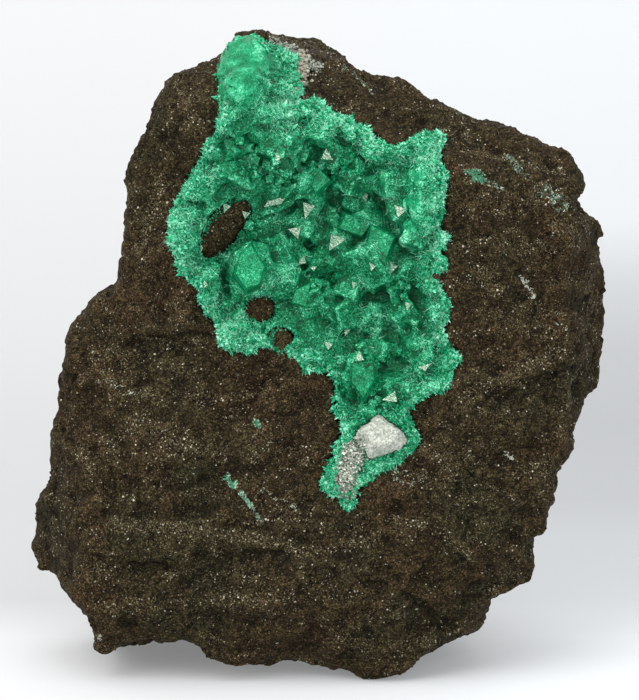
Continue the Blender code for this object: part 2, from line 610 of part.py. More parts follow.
def scattered_places(rng):
    """Random places on the crust that keep clear of each other, the windows and the calcite."""
    taken = [place for kind, place, *_ in LARGE_CRYSTALS]
    bare_places = [(outline, WINDOW_MARGIN) for outline in window_outlines()]
    bare_places += [(WHITE_OUTLINE, INLAY_MARGIN), (GREY_VEIN_OUTLINE, INLAY_MARGIN)]
    found = []
    while len(found) < SCATTERED_CRYSTALS:
        x, z = rng.uniform(*SCATTER_SIDES), rng.uniform(*SCATTER_HEIGHTS)
        here = (np.array(x), np.array(z))
        inside = float(rim_distance(*here, CRUST_OUTLINE))
        clear = all(math.hypot(x - a, z - b) > SCATTER_SPACING for a, b in taken)
        for bare, margin in bare_places:
            clear = clear and float(rim_distance(*here, bare)) < -margin
        if inside > SCATTER_INSET and clear:
            taken.append((x, z))
            found.append((x, z, inside))
    return found


def make_crystals(surface, collection):
    """Every crystal of the crust that is large enough to see from a step away, in one object."""
    rng = random.Random(SCATTER_SEED)
    bm = bmesh.new()
    for kind, (x, z), radius, length, turn, lean, spin in LARGE_CRYSTALS:
        way = towards(turn, lean)
        add_crystal(bm, kind, surface.at(x, z), way, radius, length, math.radians(spin))
    for x, z, inside in scattered_places(rng):
        radius = rng.uniform(*SCATTER_RADIUS) * (0.6 + 0.4 * min(inside / RIM_WIDTH, 1))
        axis = surface.outward(x, z) + SCATTER_TILT * towards(rng.uniform(0, 360), 90)
        length = radius * rng.uniform(*SCATTER_SLENDER)
        kind = rng.choice(["rhomb", "rhomb", "dogtooth"])
        spin = rng.uniform(0, 2 * math.pi)
        add_crystal(bm, kind, surface.at(x, z), axis.normalized(), radius, length, spin)
    mesh = bpy.data.meshes.new("crystals")
    bm.to_mesh(mesh)
    bm.free()
    return link(bpy.data.objects.new("crystals", mesh), collection)


def bent_plate(name, outline, front_at, back_at, collection):
    """A plate of that outline, each face either flat or following the depths of a surface."""
    obj = slab(name, outline, PLATE_FRONT, PLATE_BACK, collection)
    co = points_of(obj)
    in_front = co[:, 1] < (PLATE_FRONT + PLATE_BACK) / 2
    for side, depth_at in ((in_front, front_at), (~in_front, back_at)):
        if depth_at:
            co[side, 1] = depth_at(co[side, 0], co[side, 2])
    set_points(obj, co)
    return split(obj)


def relief_block(name, depth_at, flat, cell, heights, collection):
    """A block with one face at the depths of a surface and one flat."""
    (x_low, x_high), (z_low, z_high) = FIELD_SIDES, heights
    bm = bmesh.new()
    columns, rows = round((x_high - x_low) / cell), round((z_high - z_low) / cell)
    bmesh.ops.create_grid(bm, x_segments=columns, y_segments=rows, size=0.5)
    unit = np.array([v.co for v in bm.verts]) + 0.5
    x, z = x_low + unit[:, 0] * (x_high - x_low), z_low + unit[:, 1] * (z_high - z_low)
    for vert, *place_at in zip(bm.verts, x, depth_at(x, z), z):
        vert.co = place_at
    pulled = bmesh.ops.extrude_face_region(bm, geom=bm.faces[:])["geom"]
    for vert in pulled:
        if isinstance(vert, bmesh.types.BMVert):
            vert.co.y = flat
    bmesh.ops.recalc_face_normals(bm, faces=bm.faces)
    mesh = bpy.data.meshes.new(name)
    bm.to_mesh(mesh)
    bm.free()
    return split(link(bpy.data.objects.new(name, mesh), collection))


def make_hollow(surface, name, clearance, cutters):
    """The space of the crust, from in front of it back to its bed, with a post in each window."""
    def bed(x, z):
        return surface.socket(x, z) - BED_ALLOWANCE * clearance

    hollow = bent_plate(name, offset(CRUST_OUTLINE, -clearance), None, None, cutters)
    space = relief_block(name + "_space", bed, PLATE_FRONT - 1, SOCKET_CELL, FIELD_HEIGHTS, cutters)
    combined(hollow, space, "INTERSECT")
    for number, outline in enumerate(window_outlines()):
        front = None if clearance else surface.window_bed
        post = bent_plate(f"{name}_post_{number}", offset(outline, clearance), front, None, cutters)
        combined(hollow, post, "DIFFERENCE")
    return hollow


def make_crust(block, surface, shapes, cutters):
    """The green crust: one body of lining and crystals, in a hollow cut for it in the block."""
    def lining_depth(x, z):
        spots = np.stack([x, z, np.zeros_like(x)], 1)
        size, height = LINING_LUMPS
        return surface.level(x, z) + height * lumps(spots, size, 2)

    name, heights = "green_crystal_crust", (FIELD_HEIGHTS[0], CREST_HEIGHT)
    crust = relief_block(name, lining_depth, PLATE_BACK, LINING_CELL, heights, shapes)
    combined(crust, make_crystals(surface, cutters), "UNION", own=True)
    combined(crust, make_hollow(surface, "crust_limit", GAP, cutters), "INTERSECT")
    combined(block, make_hollow(surface, "crust_hollow", 0.0, cutters), "DIFFERENCE")
    return largest_part(crust)


def inlaid(name, host, outline, bed, shapes, cutters):
    """Takes the part of a host inside that outline out of it as a piece of its own."""
    def shallower(x, z):
        return bed(x, z) - GAP

    cutter = bent_plate(name + "_cutter", outline, None, bed, cutters)
    limit = bent_plate(name + "_limit", offset(outline, -GAP), None, shallower, cutters)
    piece = link(bpy.data.objects.new(name, host.data.copy()), shapes)
    combined(piece, limit, "INTERSECT")
    combined(host, cutter, "DIFFERENCE")
    largest_part(host)
    return largest_part(piece)


def make_white_crystal(crust, surface, shapes, cutters):
    """The white crystal on the crust's tail, seated in a hollow of its own shape."""
    ground = surface.at(*np.mean(WHITE_OUTLINE, 0)).y
    front, back = ground - WHITE_HEIGHT, ground + WHITE_SUNK
    crystal = slab("white_calcite_crystal", WHITE_OUTLINE, front, back, shapes)
    remeshed(crystal, WHITE_VOXEL)
    co = points_of(crystal)
    for (x, z, above), turn, tilt in WHITE_FACETS.values():
        n = facing(turn, tilt)
        over = np.maximum((co - np.array([x, ground - above, z])) @ n, 0)
        co -= over[:, None] * n
    set_points(crystal, co)
    thinned(crystal, WHITE_TRIANGLES)
    combined(crust, grown(crystal, "white_seat", SHARP_GAP, cutters), "DIFFERENCE")
    return crystal


def place(objects):
    """Leans the pieces back and stands them on the floor in metres, centred on their footprint."""
    for obj in objects:
        obj.data.transform(leaned())
    corners = np.concatenate([points_of(obj) for obj in objects])
    low, high = corners.min(0), corners.max(0)
    middle = (low + high) / 2
    to_floor = Matrix.Scale(MM, 4) @ Matrix.Translation((-middle[0], -middle[1], -low[2]))
    for obj in objects:
        obj.data.transform(to_floor)


def finish(obj):
    """Gives a piece a material of its own."""
    colour, metallic, roughness = FINISHES[obj.name]
    material = bpy.data.materials.new(obj.name)
    material.use_nodes = True
    shader = material.node_tree.nodes["Principled BSDF"]
    shader.inputs["Base Color"].default_value = (*colour, 1)
    shader.inputs["Metallic"].default_value = metallic
    shader.inputs["Roughness"].default_value = roughness
    obj.data.materials.clear()
    obj.data.materials.append(material)


def main():
    clear_scene()
    shapes = bpy.data.collections.new("bornite specimen")
    cutters = bpy.data.collections.new("cutters")
    bpy.context.scene.collection.children.link(shapes)
    bpy.context.scene.collection.children.link(cutters)
    block = make_block(shapes, cutters)
    surface = CrustSurface(block)
    crust = make_crust(block, surface, shapes, cutters)
    inlaid("grey_calcite_cap", block, GREY_CAP_OUTLINE, surface.cap_bed, shapes, cutters)
    inlaid("grey_calcite_vein", crust, GREY_VEIN_OUTLINE, surface.vein_bed, shapes, cutters)
    make_white_crystal(crust, surface, shapes, cutters)
    place(list(shapes.objects))
    for piece in shapes.objects:
        finish(piece)
    for cutter in cutters.objects:
        cutter.hide_render = True
        cutter.display_type = "WIRE"


main()
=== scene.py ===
"""Looks of the bornite specimen: dark ore, a pocket of green crystals, calcite, floor and light.

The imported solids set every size. The ore, the crust and the calcite are finer versions of their
solids, and the small crystals that cover the crust are grown over them in code.
"""

import math

import bmesh
import bpy
import numpy as np
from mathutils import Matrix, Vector, noise
from mathutils.bvhtree import BVHTree


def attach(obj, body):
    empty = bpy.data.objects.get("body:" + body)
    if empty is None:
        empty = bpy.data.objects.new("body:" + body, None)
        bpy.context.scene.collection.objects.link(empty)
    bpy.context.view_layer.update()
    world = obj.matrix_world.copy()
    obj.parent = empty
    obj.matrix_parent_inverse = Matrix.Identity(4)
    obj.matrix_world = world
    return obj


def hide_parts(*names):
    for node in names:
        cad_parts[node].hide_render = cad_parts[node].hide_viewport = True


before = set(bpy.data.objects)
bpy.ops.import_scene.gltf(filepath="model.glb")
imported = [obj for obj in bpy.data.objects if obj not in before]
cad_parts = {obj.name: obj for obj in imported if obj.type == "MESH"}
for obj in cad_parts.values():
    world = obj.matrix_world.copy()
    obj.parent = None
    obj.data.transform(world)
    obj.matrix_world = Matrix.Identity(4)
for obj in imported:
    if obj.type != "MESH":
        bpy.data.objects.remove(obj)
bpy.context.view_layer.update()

scene = bpy.context.scene
scene.view_settings.view_transform = "Standard"

MM = 0.001

# Camera: a long lens a little above the specimen, in the photograph's frame of 639 by 700.
ELEVATION = 10.0
LENS = 180.0
FIELD = 86.8
TARGET = (0.3, -8.0, 39.9)
PICTURE = (639, 700)

# The broken face leans back. Millimetres of the face frame are turned and moved to the row frame.
LEAN = math.radians(6.0)
FACE_SHIFT = (0.389, 5.514, 0.419)

# Millimetres of the face frame that one point of the picture spans, and where its zero shows.
PICTURE_STEP = 0.124
PICTURE_ZERO = (315, 676)

# The crust's outline on the broken face, across and up, in millimetres of the face frame.
CRUST_OUTLINE = [
    (-10.4, 79), (-10.2, 83), (-6.2, 83), (-5.9, 78.6), (-5.6, 77.4), (-3.8, 77), (-2.1, 76.2),
    (-2.2, 74.2), (-1.1, 71.9), (-1.9, 70.7), (0.4, 70.8), (1.4, 69.8), (3.5, 68.8), (4.6, 69),
    (5, 67.6), (6.7, 67.6), (7.3, 66.5), (9.6, 65.1), (10.5, 65.1), (11.8, 66.2), (15, 66.9),
    (15.9, 66.2), (15.6, 64), (16.1, 60.8), (15.8, 56.7), (15.3, 55.2), (16.5, 54), (15.5, 52.3),
    (16.5, 51.1), (15.8, 50.1), (14.3, 49.7), (15.6, 48.2), (16.6, 46.4), (16.5, 44.4),
    (15.8, 43.4), (16.4, 41.6), (18, 39.1), (16.9, 38.1), (17.1, 36.8), (16.2, 35.7),
    (12.9, 34.4), (11.2, 33.2), (12.3, 31.4), (13, 29.4), (12.3, 28.3), (10.2, 26.5),
    (8.3, 25.8), (7.2, 24.4), (5.5, 23.7), (5.1, 21.8), (4.3, 20.7), (3.5, 21.3), (2.9, 22.8),
    (1.4, 22.9), (0.6, 24.7), (2, 26.8), (2.6, 27.9), (2, 29), (3.3, 30.4), (3.2, 32),
    (1.7, 33.6), (2.5, 34.1), (2.2, 37), (1.5, 37.6), (-1.2, 37.8), (-2.1, 39.2), (-3.3, 40.4),
    (-5, 40.6), (-6.3, 40.8), (-8.2, 40.1), (-10.2, 40.6), (-11.4, 41.4), (-11.5, 42.5),
    (-13.5, 45.5), (-14, 48.1), (-16.4, 50), (-17.2, 52.8), (-17.7, 55.2), (-17.5, 56.7),
    (-15.9, 60), (-14, 63.3), (-13, 65.1), (-11.8, 66.6), (-11, 68.7), (-11, 70), (-12, 71.1),
    (-12.3, 72.7), (-12, 75.2), (-11.1, 77.3),
]


def to_face(points):
    """Points of the row frame, in millimetres, in the frame of the broken face."""
    moved = points + np.array(FACE_SHIFT)
    c, s = math.cos(LEAN), math.sin(LEAN)
    return np.stack([moved[:, 0], c * moved[:, 1] - s * moved[:, 2],
                     s * moved[:, 1] + c * moved[:, 2]], 1)


def from_face(points):
    """Points of the broken face's frame in the row frame."""
    c, s = math.cos(LEAN), math.sin(LEAN)
    turned = np.stack([points[:, 0], c * points[:, 1] + s * points[:, 2],
                       c * points[:, 2] - s * points[:, 1]], 1)
    return turned - np.array(FACE_SHIFT)


def rim_distance(spots, outline):
    """Distance from spots on the face to an outline, positive inside it."""
    nearest = np.full(len(spots), 1e9)
    inside = np.zeros(len(spots), bool)
    for (ax, az), (bx, bz) in zip(outline, outline[1:] + outline[:1]):
        edge = np.array([bx - ax, bz - az])
        rel = spots - np.array([ax, az])
        t = np.clip(rel @ edge / (edge @ edge), 0, 1)
        nearest = np.minimum(nearest, np.hypot(*(rel - t[:, None] * edge).T))
        if az != bz:
            crosses = (az > spots[:, 1]) != (bz > spots[:, 1])
            inside ^= crosses & (spots[:, 0] < ax + (spots[:, 1] - az) * (bx - ax) / (bz - az))
    return np.where(inside, nearest, -nearest)


def outward_of_rim(spots, outline):
    """For spots near the outline, the direction across the face that leads out over it."""
    step = 0.3
    right, up = np.array([step, 0.0]), np.array([0.0, step])
    across = rim_distance(spots + right, outline) - rim_distance(spots - right, outline)
    rise = rim_distance(spots + up, outline) - rim_distance(spots - up, outline)
    away = -np.stack([across, rise], 1)
    return away / np.maximum(np.linalg.norm(away, axis=1), 1e-6)[:, None]


# Mesh tools.


def unit(vectors):
    """The same directions, each one long."""
    return vectors / np.maximum(np.linalg.norm(vectors, axis=-1, keepdims=True), 1e-9)


def ease(t):
    """A soft step from 0 to 1."""
    t = np.clip(t, 0, 1)
    return t * t * (3 - 2 * t)


def lumps(points, size, octaves=3):
    """Smooth noise from about -1 to 1, with lumps of that size in millimetres."""
    return np.array([noise.fractal(Vector(p), 1.0, 2.0, octaves) for p in points / size])


def ridges(points, size, octaves=3):
    """Noise with sharp crests, from about 0 to 1."""
    return np.array([noise.ridged_multi_fractal(Vector(p), 1.0, 2.1, octaves, 0.9, 1.6)
                     for p in points / size]) * 0.5


def facets(points, size, rng):
    """Flat broken facets of that size in millimetres, each tilted its own way."""
    tilts, heights = {}, np.empty(len(points))
    for k, point in enumerate(points / size):
        spot = Vector(point)
        seed = noise.voronoi(spot)[1][0]
        key = tuple(round(value, 3) for value in seed)
        if key not in tilts:
            tilts[key] = Vector(unit(rng.normal(size=3)))
        heights[k] = (spot - seed).dot(tilts[key])
    return heights


def stored(items, name, width, kind=np.float32):
    """A value that a mesh stores for each of its items, as rows."""
    values = np.empty(len(items) * width, kind)
    items.foreach_get(name, values)
    return values.reshape(-1, width)


def points_of(obj):
    return stored(obj.data.vertices, "co", 3).astype(float) / MM


def normals_of(obj):
    return stored(obj.data.vertices, "normal", 3).astype(float)


def edges_of(obj):
    return stored(obj.data.edges, "vertices", 2, np.int32)


def triangles_of(obj):
    obj.data.calc_loop_triangles()
    return stored(obj.data.loop_triangles, "vertices", 3, np.int32)


def set_points(obj, points):
    obj.data.vertices.foreach_set("co", (points * MM).astype(np.float32).ravel())
    obj.data.update()


def neighbour_mean(values, edges, rounds=1):
    """The mean of each point's neighbours, taken that many times over."""
    a, b = edges.T
    count = np.maximum(np.bincount(edges.ravel(), minlength=len(values)), 1)
    for _ in range(rounds):
        total = [np.bincount(a, column[b], len(values)) + np.bincount(b, column[a], len(values))
                 for column in values.T]
        values = np.stack(total, 1) / count[:, None]
    return values


def softened(points, edges, rounds, hold=0.0):
    """Evens out steps without losing size. hold keeps a share of each point where it was."""
    pull, push_back = 0.5, 0.52
    soft = points
    for _ in range(rounds):
        soft = soft + pull * (neighbour_mean(soft, edges) - soft)
        soft = soft - push_back * (neighbour_mean(soft, edges) - soft)
    keep = np.asarray(hold)
    keep = keep[:, None] if keep.ndim else keep
    return soft * (1 - keep) + points * keep


def mark(obj, name, values):
    """Stores a number for each point, which the material reads by that name."""
    layer = obj.data.attributes.new(name, "FLOAT", "POINT")
    layer.data.foreach_set("value", np.asarray(values, np.float32))


def mark_proud(obj, edges, rounds, full):
    """Marks how far each point stands out of what is around it, 1 for that many mm or more."""
    points = points_of(obj)
    out = ((points - neighbour_mean(points, edges, rounds)) * normals_of(obj)).sum(1)
    mark(obj, "proud", np.clip(out / full, -1, 1))


def put_in(name, data):
    obj = bpy.data.objects.new(name, data)
    scene.collection.objects.link(obj)
    return obj


def add_piece(name, mesh, material, stands_for=()):
    """Puts a mesh in the scene, with one material or a list, in place of the named solids."""
    obj = put_in(name, mesh)
    for one in (material if isinstance(material, list) else [material]):
        mesh.materials.append(one)
    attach(obj, "root")
    if stands_for:
        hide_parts(*stands_for)
    return obj


def fine_copy(node, name, voxel, material):
    """An even, fine mesh of a solid, to be carved further, in place of that solid."""
    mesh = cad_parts[node].data.copy()
    bm = bmesh.new()
    bm.from_mesh(mesh)
    bmesh.ops.remove_doubles(bm, verts=bm.verts, dist=1e-7)
    bm.to_mesh(mesh)
    bm.free()
    blank = put_in(name + "_blank", mesh)
    modifier = blank.modifiers.new("even mesh", "REMESH")
    modifier.mode = "VOXEL"
    modifier.voxel_size = voxel * MM
    modifier.use_smooth_shade = True
    graph = bpy.context.evaluated_depsgraph_get()
    fine = bpy.data.meshes.new_from_object(blank.evaluated_get(graph))
    fine.name = name
    fine.materials.clear()
    bpy.data.objects.remove(blank)
    return add_piece(name, fine, material, [node])


def tree_of(*objects):
    """A search tree of the pieces' surfaces, in millimetres."""
    points, faces, start = [], [], 0
    for obj in objects:
        points.append(points_of(obj))
        faces.append(triangles_of(obj) + start)
        start += len(points[-1])
    return BVHTree.FromPolygons(np.concatenate(points).tolist(), np.concatenate(faces).tolist())


def samples(obj, count, rng):
    """Random spots spread evenly over a piece's surface, with the way it looks at each."""
    corners = triangles_of(obj)
    a, b, c = (points_of(obj)[corners[:, k]] for k in range(3))
    cross = np.cross(b - a, c - a)
    area = np.linalg.norm(cross, axis=1)
    picked = rng.choice(len(area), count, p=area / area.sum())
    u, v = rng.random(count), rng.random(count)
    flip = u + v > 1
    u[flip], v[flip] = 1 - u[flip], 1 - v[flip]
    spots = a[picked] + u[:, None] * (b - a)[picked] + v[:, None] * (c - a)[picked]
    return spots, unit(cross[picked])


def in_the_open(spots, ways, tree, reach):
    """Which spots have nothing in front of them for that many millimetres."""
    clear = 0.12
    free = np.ones(len(spots), bool)
    for k, (spot, way) in enumerate(zip(spots, ways)):
        start = Vector(spot + way * clear)
        free[k] = tree.ray_cast(start, Vector(way), reach)[0] is None
    return free


# Small crystals.

FORMS = {
    # A three-sided spike.
    "spike": (
        [(1, 0, 0), (-0.5, 0.87, 0), (-0.5, -0.87, 0), (0, 0, 1)],
        [(0, 1, 3), (1, 2, 3), (2, 0, 3), (2, 1, 0)],
    ),
    # A three-sided blade that swells towards a short point.
    "blade": (
        [(0.7, 0, 0), (-0.35, 0.6, 0), (-0.35, -0.6, 0),
         (1, 0, 0.62), (-0.5, 0.87, 0.55), (-0.5, -0.87, 0.7), (0, 0, 1)],
        [(0, 1, 4, 3), (1, 2, 5, 4), (2, 0, 3, 5), (3, 4, 6), (4, 5, 6), (5, 3, 6), (2, 1, 0)],
    ),
    # The corner of a rhomb, with three faces at its point.
    "rhomb": (
        [(0, 0, 1), (0.94, 0, 0.67), (-0.47, 0.82, 0.67), (-0.47, -0.82, 0.67),
         (0.47, 0.82, 0.33), (-0.94, 0, 0.33), (0.47, -0.82, 0.33), (0, 0, 0)],
        [(0, 1, 4, 2), (0, 2, 5, 3), (0, 3, 6, 1), (7, 4, 1, 6), (7, 5, 2, 4), (7, 6, 3, 5)],
    ),
    # A six-sided tooth.
    "tooth": (
        [(1, 0, 0.3), (0.5, 0.87, 0.22), (-0.5, 0.87, 0.3), (-1, 0, 0.22), (-0.5, -0.87, 0.3),
         (0.5, -0.87, 0.22), (0, 0, 1), (0, 0, -0.3)],
        [(k, (k + 1) % 6, 6) for k in range(6)] + [((k + 1) % 6, k, 7) for k in range(6)],
    ),
}


def grow(name, form, roots, ways, widths, lengths, rng, slot, material, flat=1.0, **marks):
    """Many small crystals of one form, joined in one piece, one crystal at each root."""
    shape, faces = FORMS[form]
    shape = np.array(shape, float)
    count, corners = len(roots), len(shape)
    ways = unit(ways)
    side = unit(np.cross(ways, rng.normal(size=(count, 3))))
    third = np.cross(ways, side)
    points = (roots[:, None]
              + side[:, None] * np.outer(widths, shape[:, 0])[..., None]
              + third[:, None] * np.outer(widths * flat, shape[:, 1])[..., None]
              + ways[:, None] * np.outer(lengths, shape[:, 2])[..., None])
    first = np.arange(count)[:, None] * corners
    every = []
    for face in faces:
        every += (first + np.array(face)).tolist()
    mesh = bpy.data.meshes.new(name)
    mesh.from_pydata((points.reshape(-1, 3) * MM).tolist(), [], every)
    mesh.update()
    obj = add_piece(name, mesh, material)
    mark(obj, "tip", np.tile(shape[:, 2], count))
    for mark_name, values in marks.items():
        mark(obj, mark_name, np.repeat(values, corners))
    return obj


# Materials.


class Sketch:
    """Adds nodes to a tree. A value that is a socket is linked, and any other is set."""

    def __init__(self, tree):
        self.tree = tree

    def node(self, kind, settings=None, **values):
        made = self.tree.nodes.new("ShaderNode" + kind)
        for key, value in (settings or {}).items():
            setattr(made, key, value)
        for key, value in values.items():
            key = key.replace("_", " ")
            self.feed(made.inputs[key], value)
        return made

    def feed(self, socket, value):
        if isinstance(value, bpy.types.NodeSocket):
            self.tree.links.new(value, socket)
        elif isinstance(value, tuple) and len(value) == 3 and socket.type == "RGBA":
            socket.default_value = (*value, 1)
        else:
            socket.default_value = value

    def calc(self, operation, a, b=0.0, clamp=False):
        made = self.node("Math", {"operation": operation, "use_clamp": clamp})
        self.feed(made.inputs[0], a)
        self.feed(made.inputs[1], b)
        return made.outputs[0]

    def times(self, a, b):
        return self.calc("MULTIPLY", a, b)

    def plus(self, a, b):
        return self.calc("ADD", a, b)

    def vector(self, operation, a, b=(0, 0, 0), scale=1.0):
        made = self.node("VectorMath", {"operation": operation})
        self.feed(made.inputs[0], a)
        self.feed(made.inputs[1], b)
        if operation == "SCALE":
            self.feed(made.inputs["Scale"], scale)
        return made.outputs["Value" if operation in ("DOT_PRODUCT", "LENGTH") else "Vector"]

    def span(self, value, low, high, to_low=0.0, to_high=1.0):
        """A soft step from to_low, where the value is at low, to to_high at high."""
        made = self.node("MapRange", {"interpolation_type": "SMOOTHSTEP"})
        for socket, given in zip(made.inputs, (value, low, high, to_low, to_high)):
            self.feed(socket, given)
        return made.outputs[0]

    def mix(self, share, a, b, blend="MIX"):
        made = self.node("Mix", {"data_type": "RGBA", "blend_type": blend})
        self.feed(made.inputs["Factor"], share)
        self.feed(made.inputs[6], a)
        self.feed(made.inputs[7], b)
        return made.outputs[2]

    def ramp(self, value, stops):
        made = self.node("ValToRGB", Fac=value)
        band = made.color_ramp
        while len(band.elements) < len(stops):
            band.elements.new(0.5)
        for element, (place, colour) in zip(band.elements, stops):
            element.position = place
            element.color = (*colour, 1)
        return made.outputs["Color"]

    def noise(self, point, per_mm, detail=2.0, rough=0.5):
        made = self.node("TexNoise", Vector=point, Scale=per_mm, Detail=detail, Roughness=rough)
        return made.outputs["Fac"]

    def cells(self, point, per_mm):
        return self.node("TexVoronoi", Vector=point, Scale=per_mm)

    def parts(self, colour):
        return self.node("SeparateColor", Color=colour).outputs

    def read(self, name):
        return self.node("Attribute", {"attribute_name": name}).outputs["Fac"]


def new_group(name, inputs, outputs):
    """A shader node group with named inputs and outputs, and a sketch to fill it with."""
    tree = bpy.data.node_groups.new(name, "ShaderNodeTree")
    for label, kind, value in inputs:
        socket = tree.interface.new_socket(label, in_out="INPUT", socket_type="NodeSocket" + kind)
        if value is not None:
            socket.default_value = value
    for label, kind in outputs:
        tree.interface.new_socket(label, in_out="OUTPUT", socket_type="NodeSocket" + kind)
    given, out = tree.nodes.new("NodeGroupInput"), tree.nodes.new("NodeGroupOutput")
    return tree, Sketch(tree), given.outputs, out.inputs


def grain_group():
    """Fine, broken grain: a shade around 1 and a height from 0 to 1."""
    tree, s, given, out = new_group(
        "broken grain",
        [("Point", "Vector", None), ("Size", "Float", 0.3), ("Contrast", "Float", 0.5)],
        [("Shade", "Float"), ("Height", "Float"), ("Tone", "Float")],
    )
    per_mm = s.calc("DIVIDE", 1.0, given["Size"])
    fine = s.noise(given["Point"], per_mm, 2.0, 0.7)
    parts = s.parts(s.cells(given["Point"], per_mm).outputs["Color"])
    both = s.plus(s.times(s.calc("SUBTRACT", fine, 0.5), 1.6), s.calc("SUBTRACT", parts[0], 0.5))
    s.feed(out["Shade"], s.calc("EXPONENT", s.times(both, given["Contrast"])))
    s.feed(out["Height"], s.plus(s.times(fine, 0.6), s.times(parts[1], 0.4)))
    s.feed(out["Tone"], parts[2])
    return tree


def fleck_group():
    """Scattered flakes: where they lie and a random tone for each."""
    tree, s, given, out = new_group(
        "scattered flakes",
        [("Point", "Vector", None), ("Size", "Float", 0.3), ("Share", "Float", 0.1)],
        [("Mask", "Float"), ("Tone", "Float")],
    )
    found = s.cells(given["Point"], s.calc("DIVIDE", 1.0, given["Size"]))
    parts = s.parts(found.outputs["Color"])
    chosen = s.calc("LESS_THAN", parts[0], given["Share"])
    body = s.span(found.outputs["Distance"], 0.62, 0.48)
    s.feed(out["Mask"], s.times(chosen, body))
    s.feed(out["Tone"], parts[1])
    return tree


def stroke_group():
    """A ragged mark along a line between two points: 1 on it, 0 away from it."""
    tree, s, given, out = new_group(
        "ragged mark",
        [("Point", "Vector", None), ("Start", "Vector", None), ("End", "Vector", None),
         ("Width", "Float", 0.5), ("Ragged", "Float", 0.5)],
        [("Mask", "Float")],
    )
    along = s.vector("SUBTRACT", given["End"], given["Start"])
    from_start = s.vector("SUBTRACT", given["Point"], given["Start"])
    share = s.calc("DIVIDE", s.vector("DOT_PRODUCT", from_start, along),
                  s.vector("DOT_PRODUCT", along, along), clamp=True)
    nearest = s.vector("SCALE", along, scale=share)
    away = s.vector("LENGTH", s.vector("SUBTRACT", from_start, nearest))
    rough = s.times(s.calc("SUBTRACT", s.noise(given["Point"], 1.6, 3.0, 0.65), 0.5), 3.0)
    away = s.plus(away, s.times(s.times(rough, given["Ragged"]), given["Width"]))
    s.feed(out["Mask"], s.span(away, given["Width"], s.times(given["Width"], 0.45)))
    return tree


GRAIN, FLECKS, STROKE = grain_group(), fleck_group(), stroke_group()


def group(s, tree, **values):
    """Places a node group with its own values."""
    made = s.tree.nodes.new("ShaderNodeGroup")
    made.node_tree = tree
    for key, value in values.items():
        s.feed(made.inputs[key], value)
    return made.outputs


def stroke(s, point, start, end, width, ragged):
    """Where one ragged mark lies."""
    return group(s, STROKE, Point=point, Start=start, End=end, Width=width, Ragged=ragged)["Mask"]


def new_material(name):
    """A material with a sketch, its shader and the object's own millimetre coordinates."""
    material = bpy.data.materials.new(name)
    material.use_nodes = True
    s = Sketch(material.node_tree)
    shader = material.node_tree.nodes["Principled BSDF"]
    place = s.node("TexCoord").outputs["Object"]
    return material, s, shader, s.vector("SCALE", place, scale=1000.0)


def set_values(shader, **values):
    """Plain values on the shader's own sockets, named with underscores for spaces."""
    for name, value in values.items():
        shader.inputs[name.replace("_", " ")].default_value = value


def set_bump(s, shader, height, depth_mm):
    bump = s.node("Bump", Strength=1.0, Distance=depth_mm * MM, Height=height)
    s.feed(shader.inputs["Normal"], bump.outputs["Normal"])


# Pale grains inside the marks, the ore's ground, and its flakes from dull brown to nearly white; the
# palest flakes are painted glints as well as pale grains.
MARK_GRAINS = (0.40, 0.46, 0.36)
BROWN_ORE, GREY_ORE = (0.0222, 0.0146, 0.0062), (0.0170, 0.0140, 0.0060)
RED_ORE = (0.0270, 0.0141, 0.0062)
FLAKE_AND_GLINT_TONES = [
    (0.0, (0.080, 0.048, 0.024)), (0.2, (0.125, 0.098, 0.050)), (0.4, (0.21, 0.175, 0.090)),
    (0.6, (0.27, 0.245, 0.165)), (0.9, (0.56, 0.51, 0.39)),
]

# Flakes in the ore: size in mm, share of bare ground and of thick patches, and strength.
FLAKES = [(0.13, 0.045, 0.46, 0.66), (0.19, 0.007, 0.2, 0.9), (0.26, 0.0005, 0.026, 1.0)]


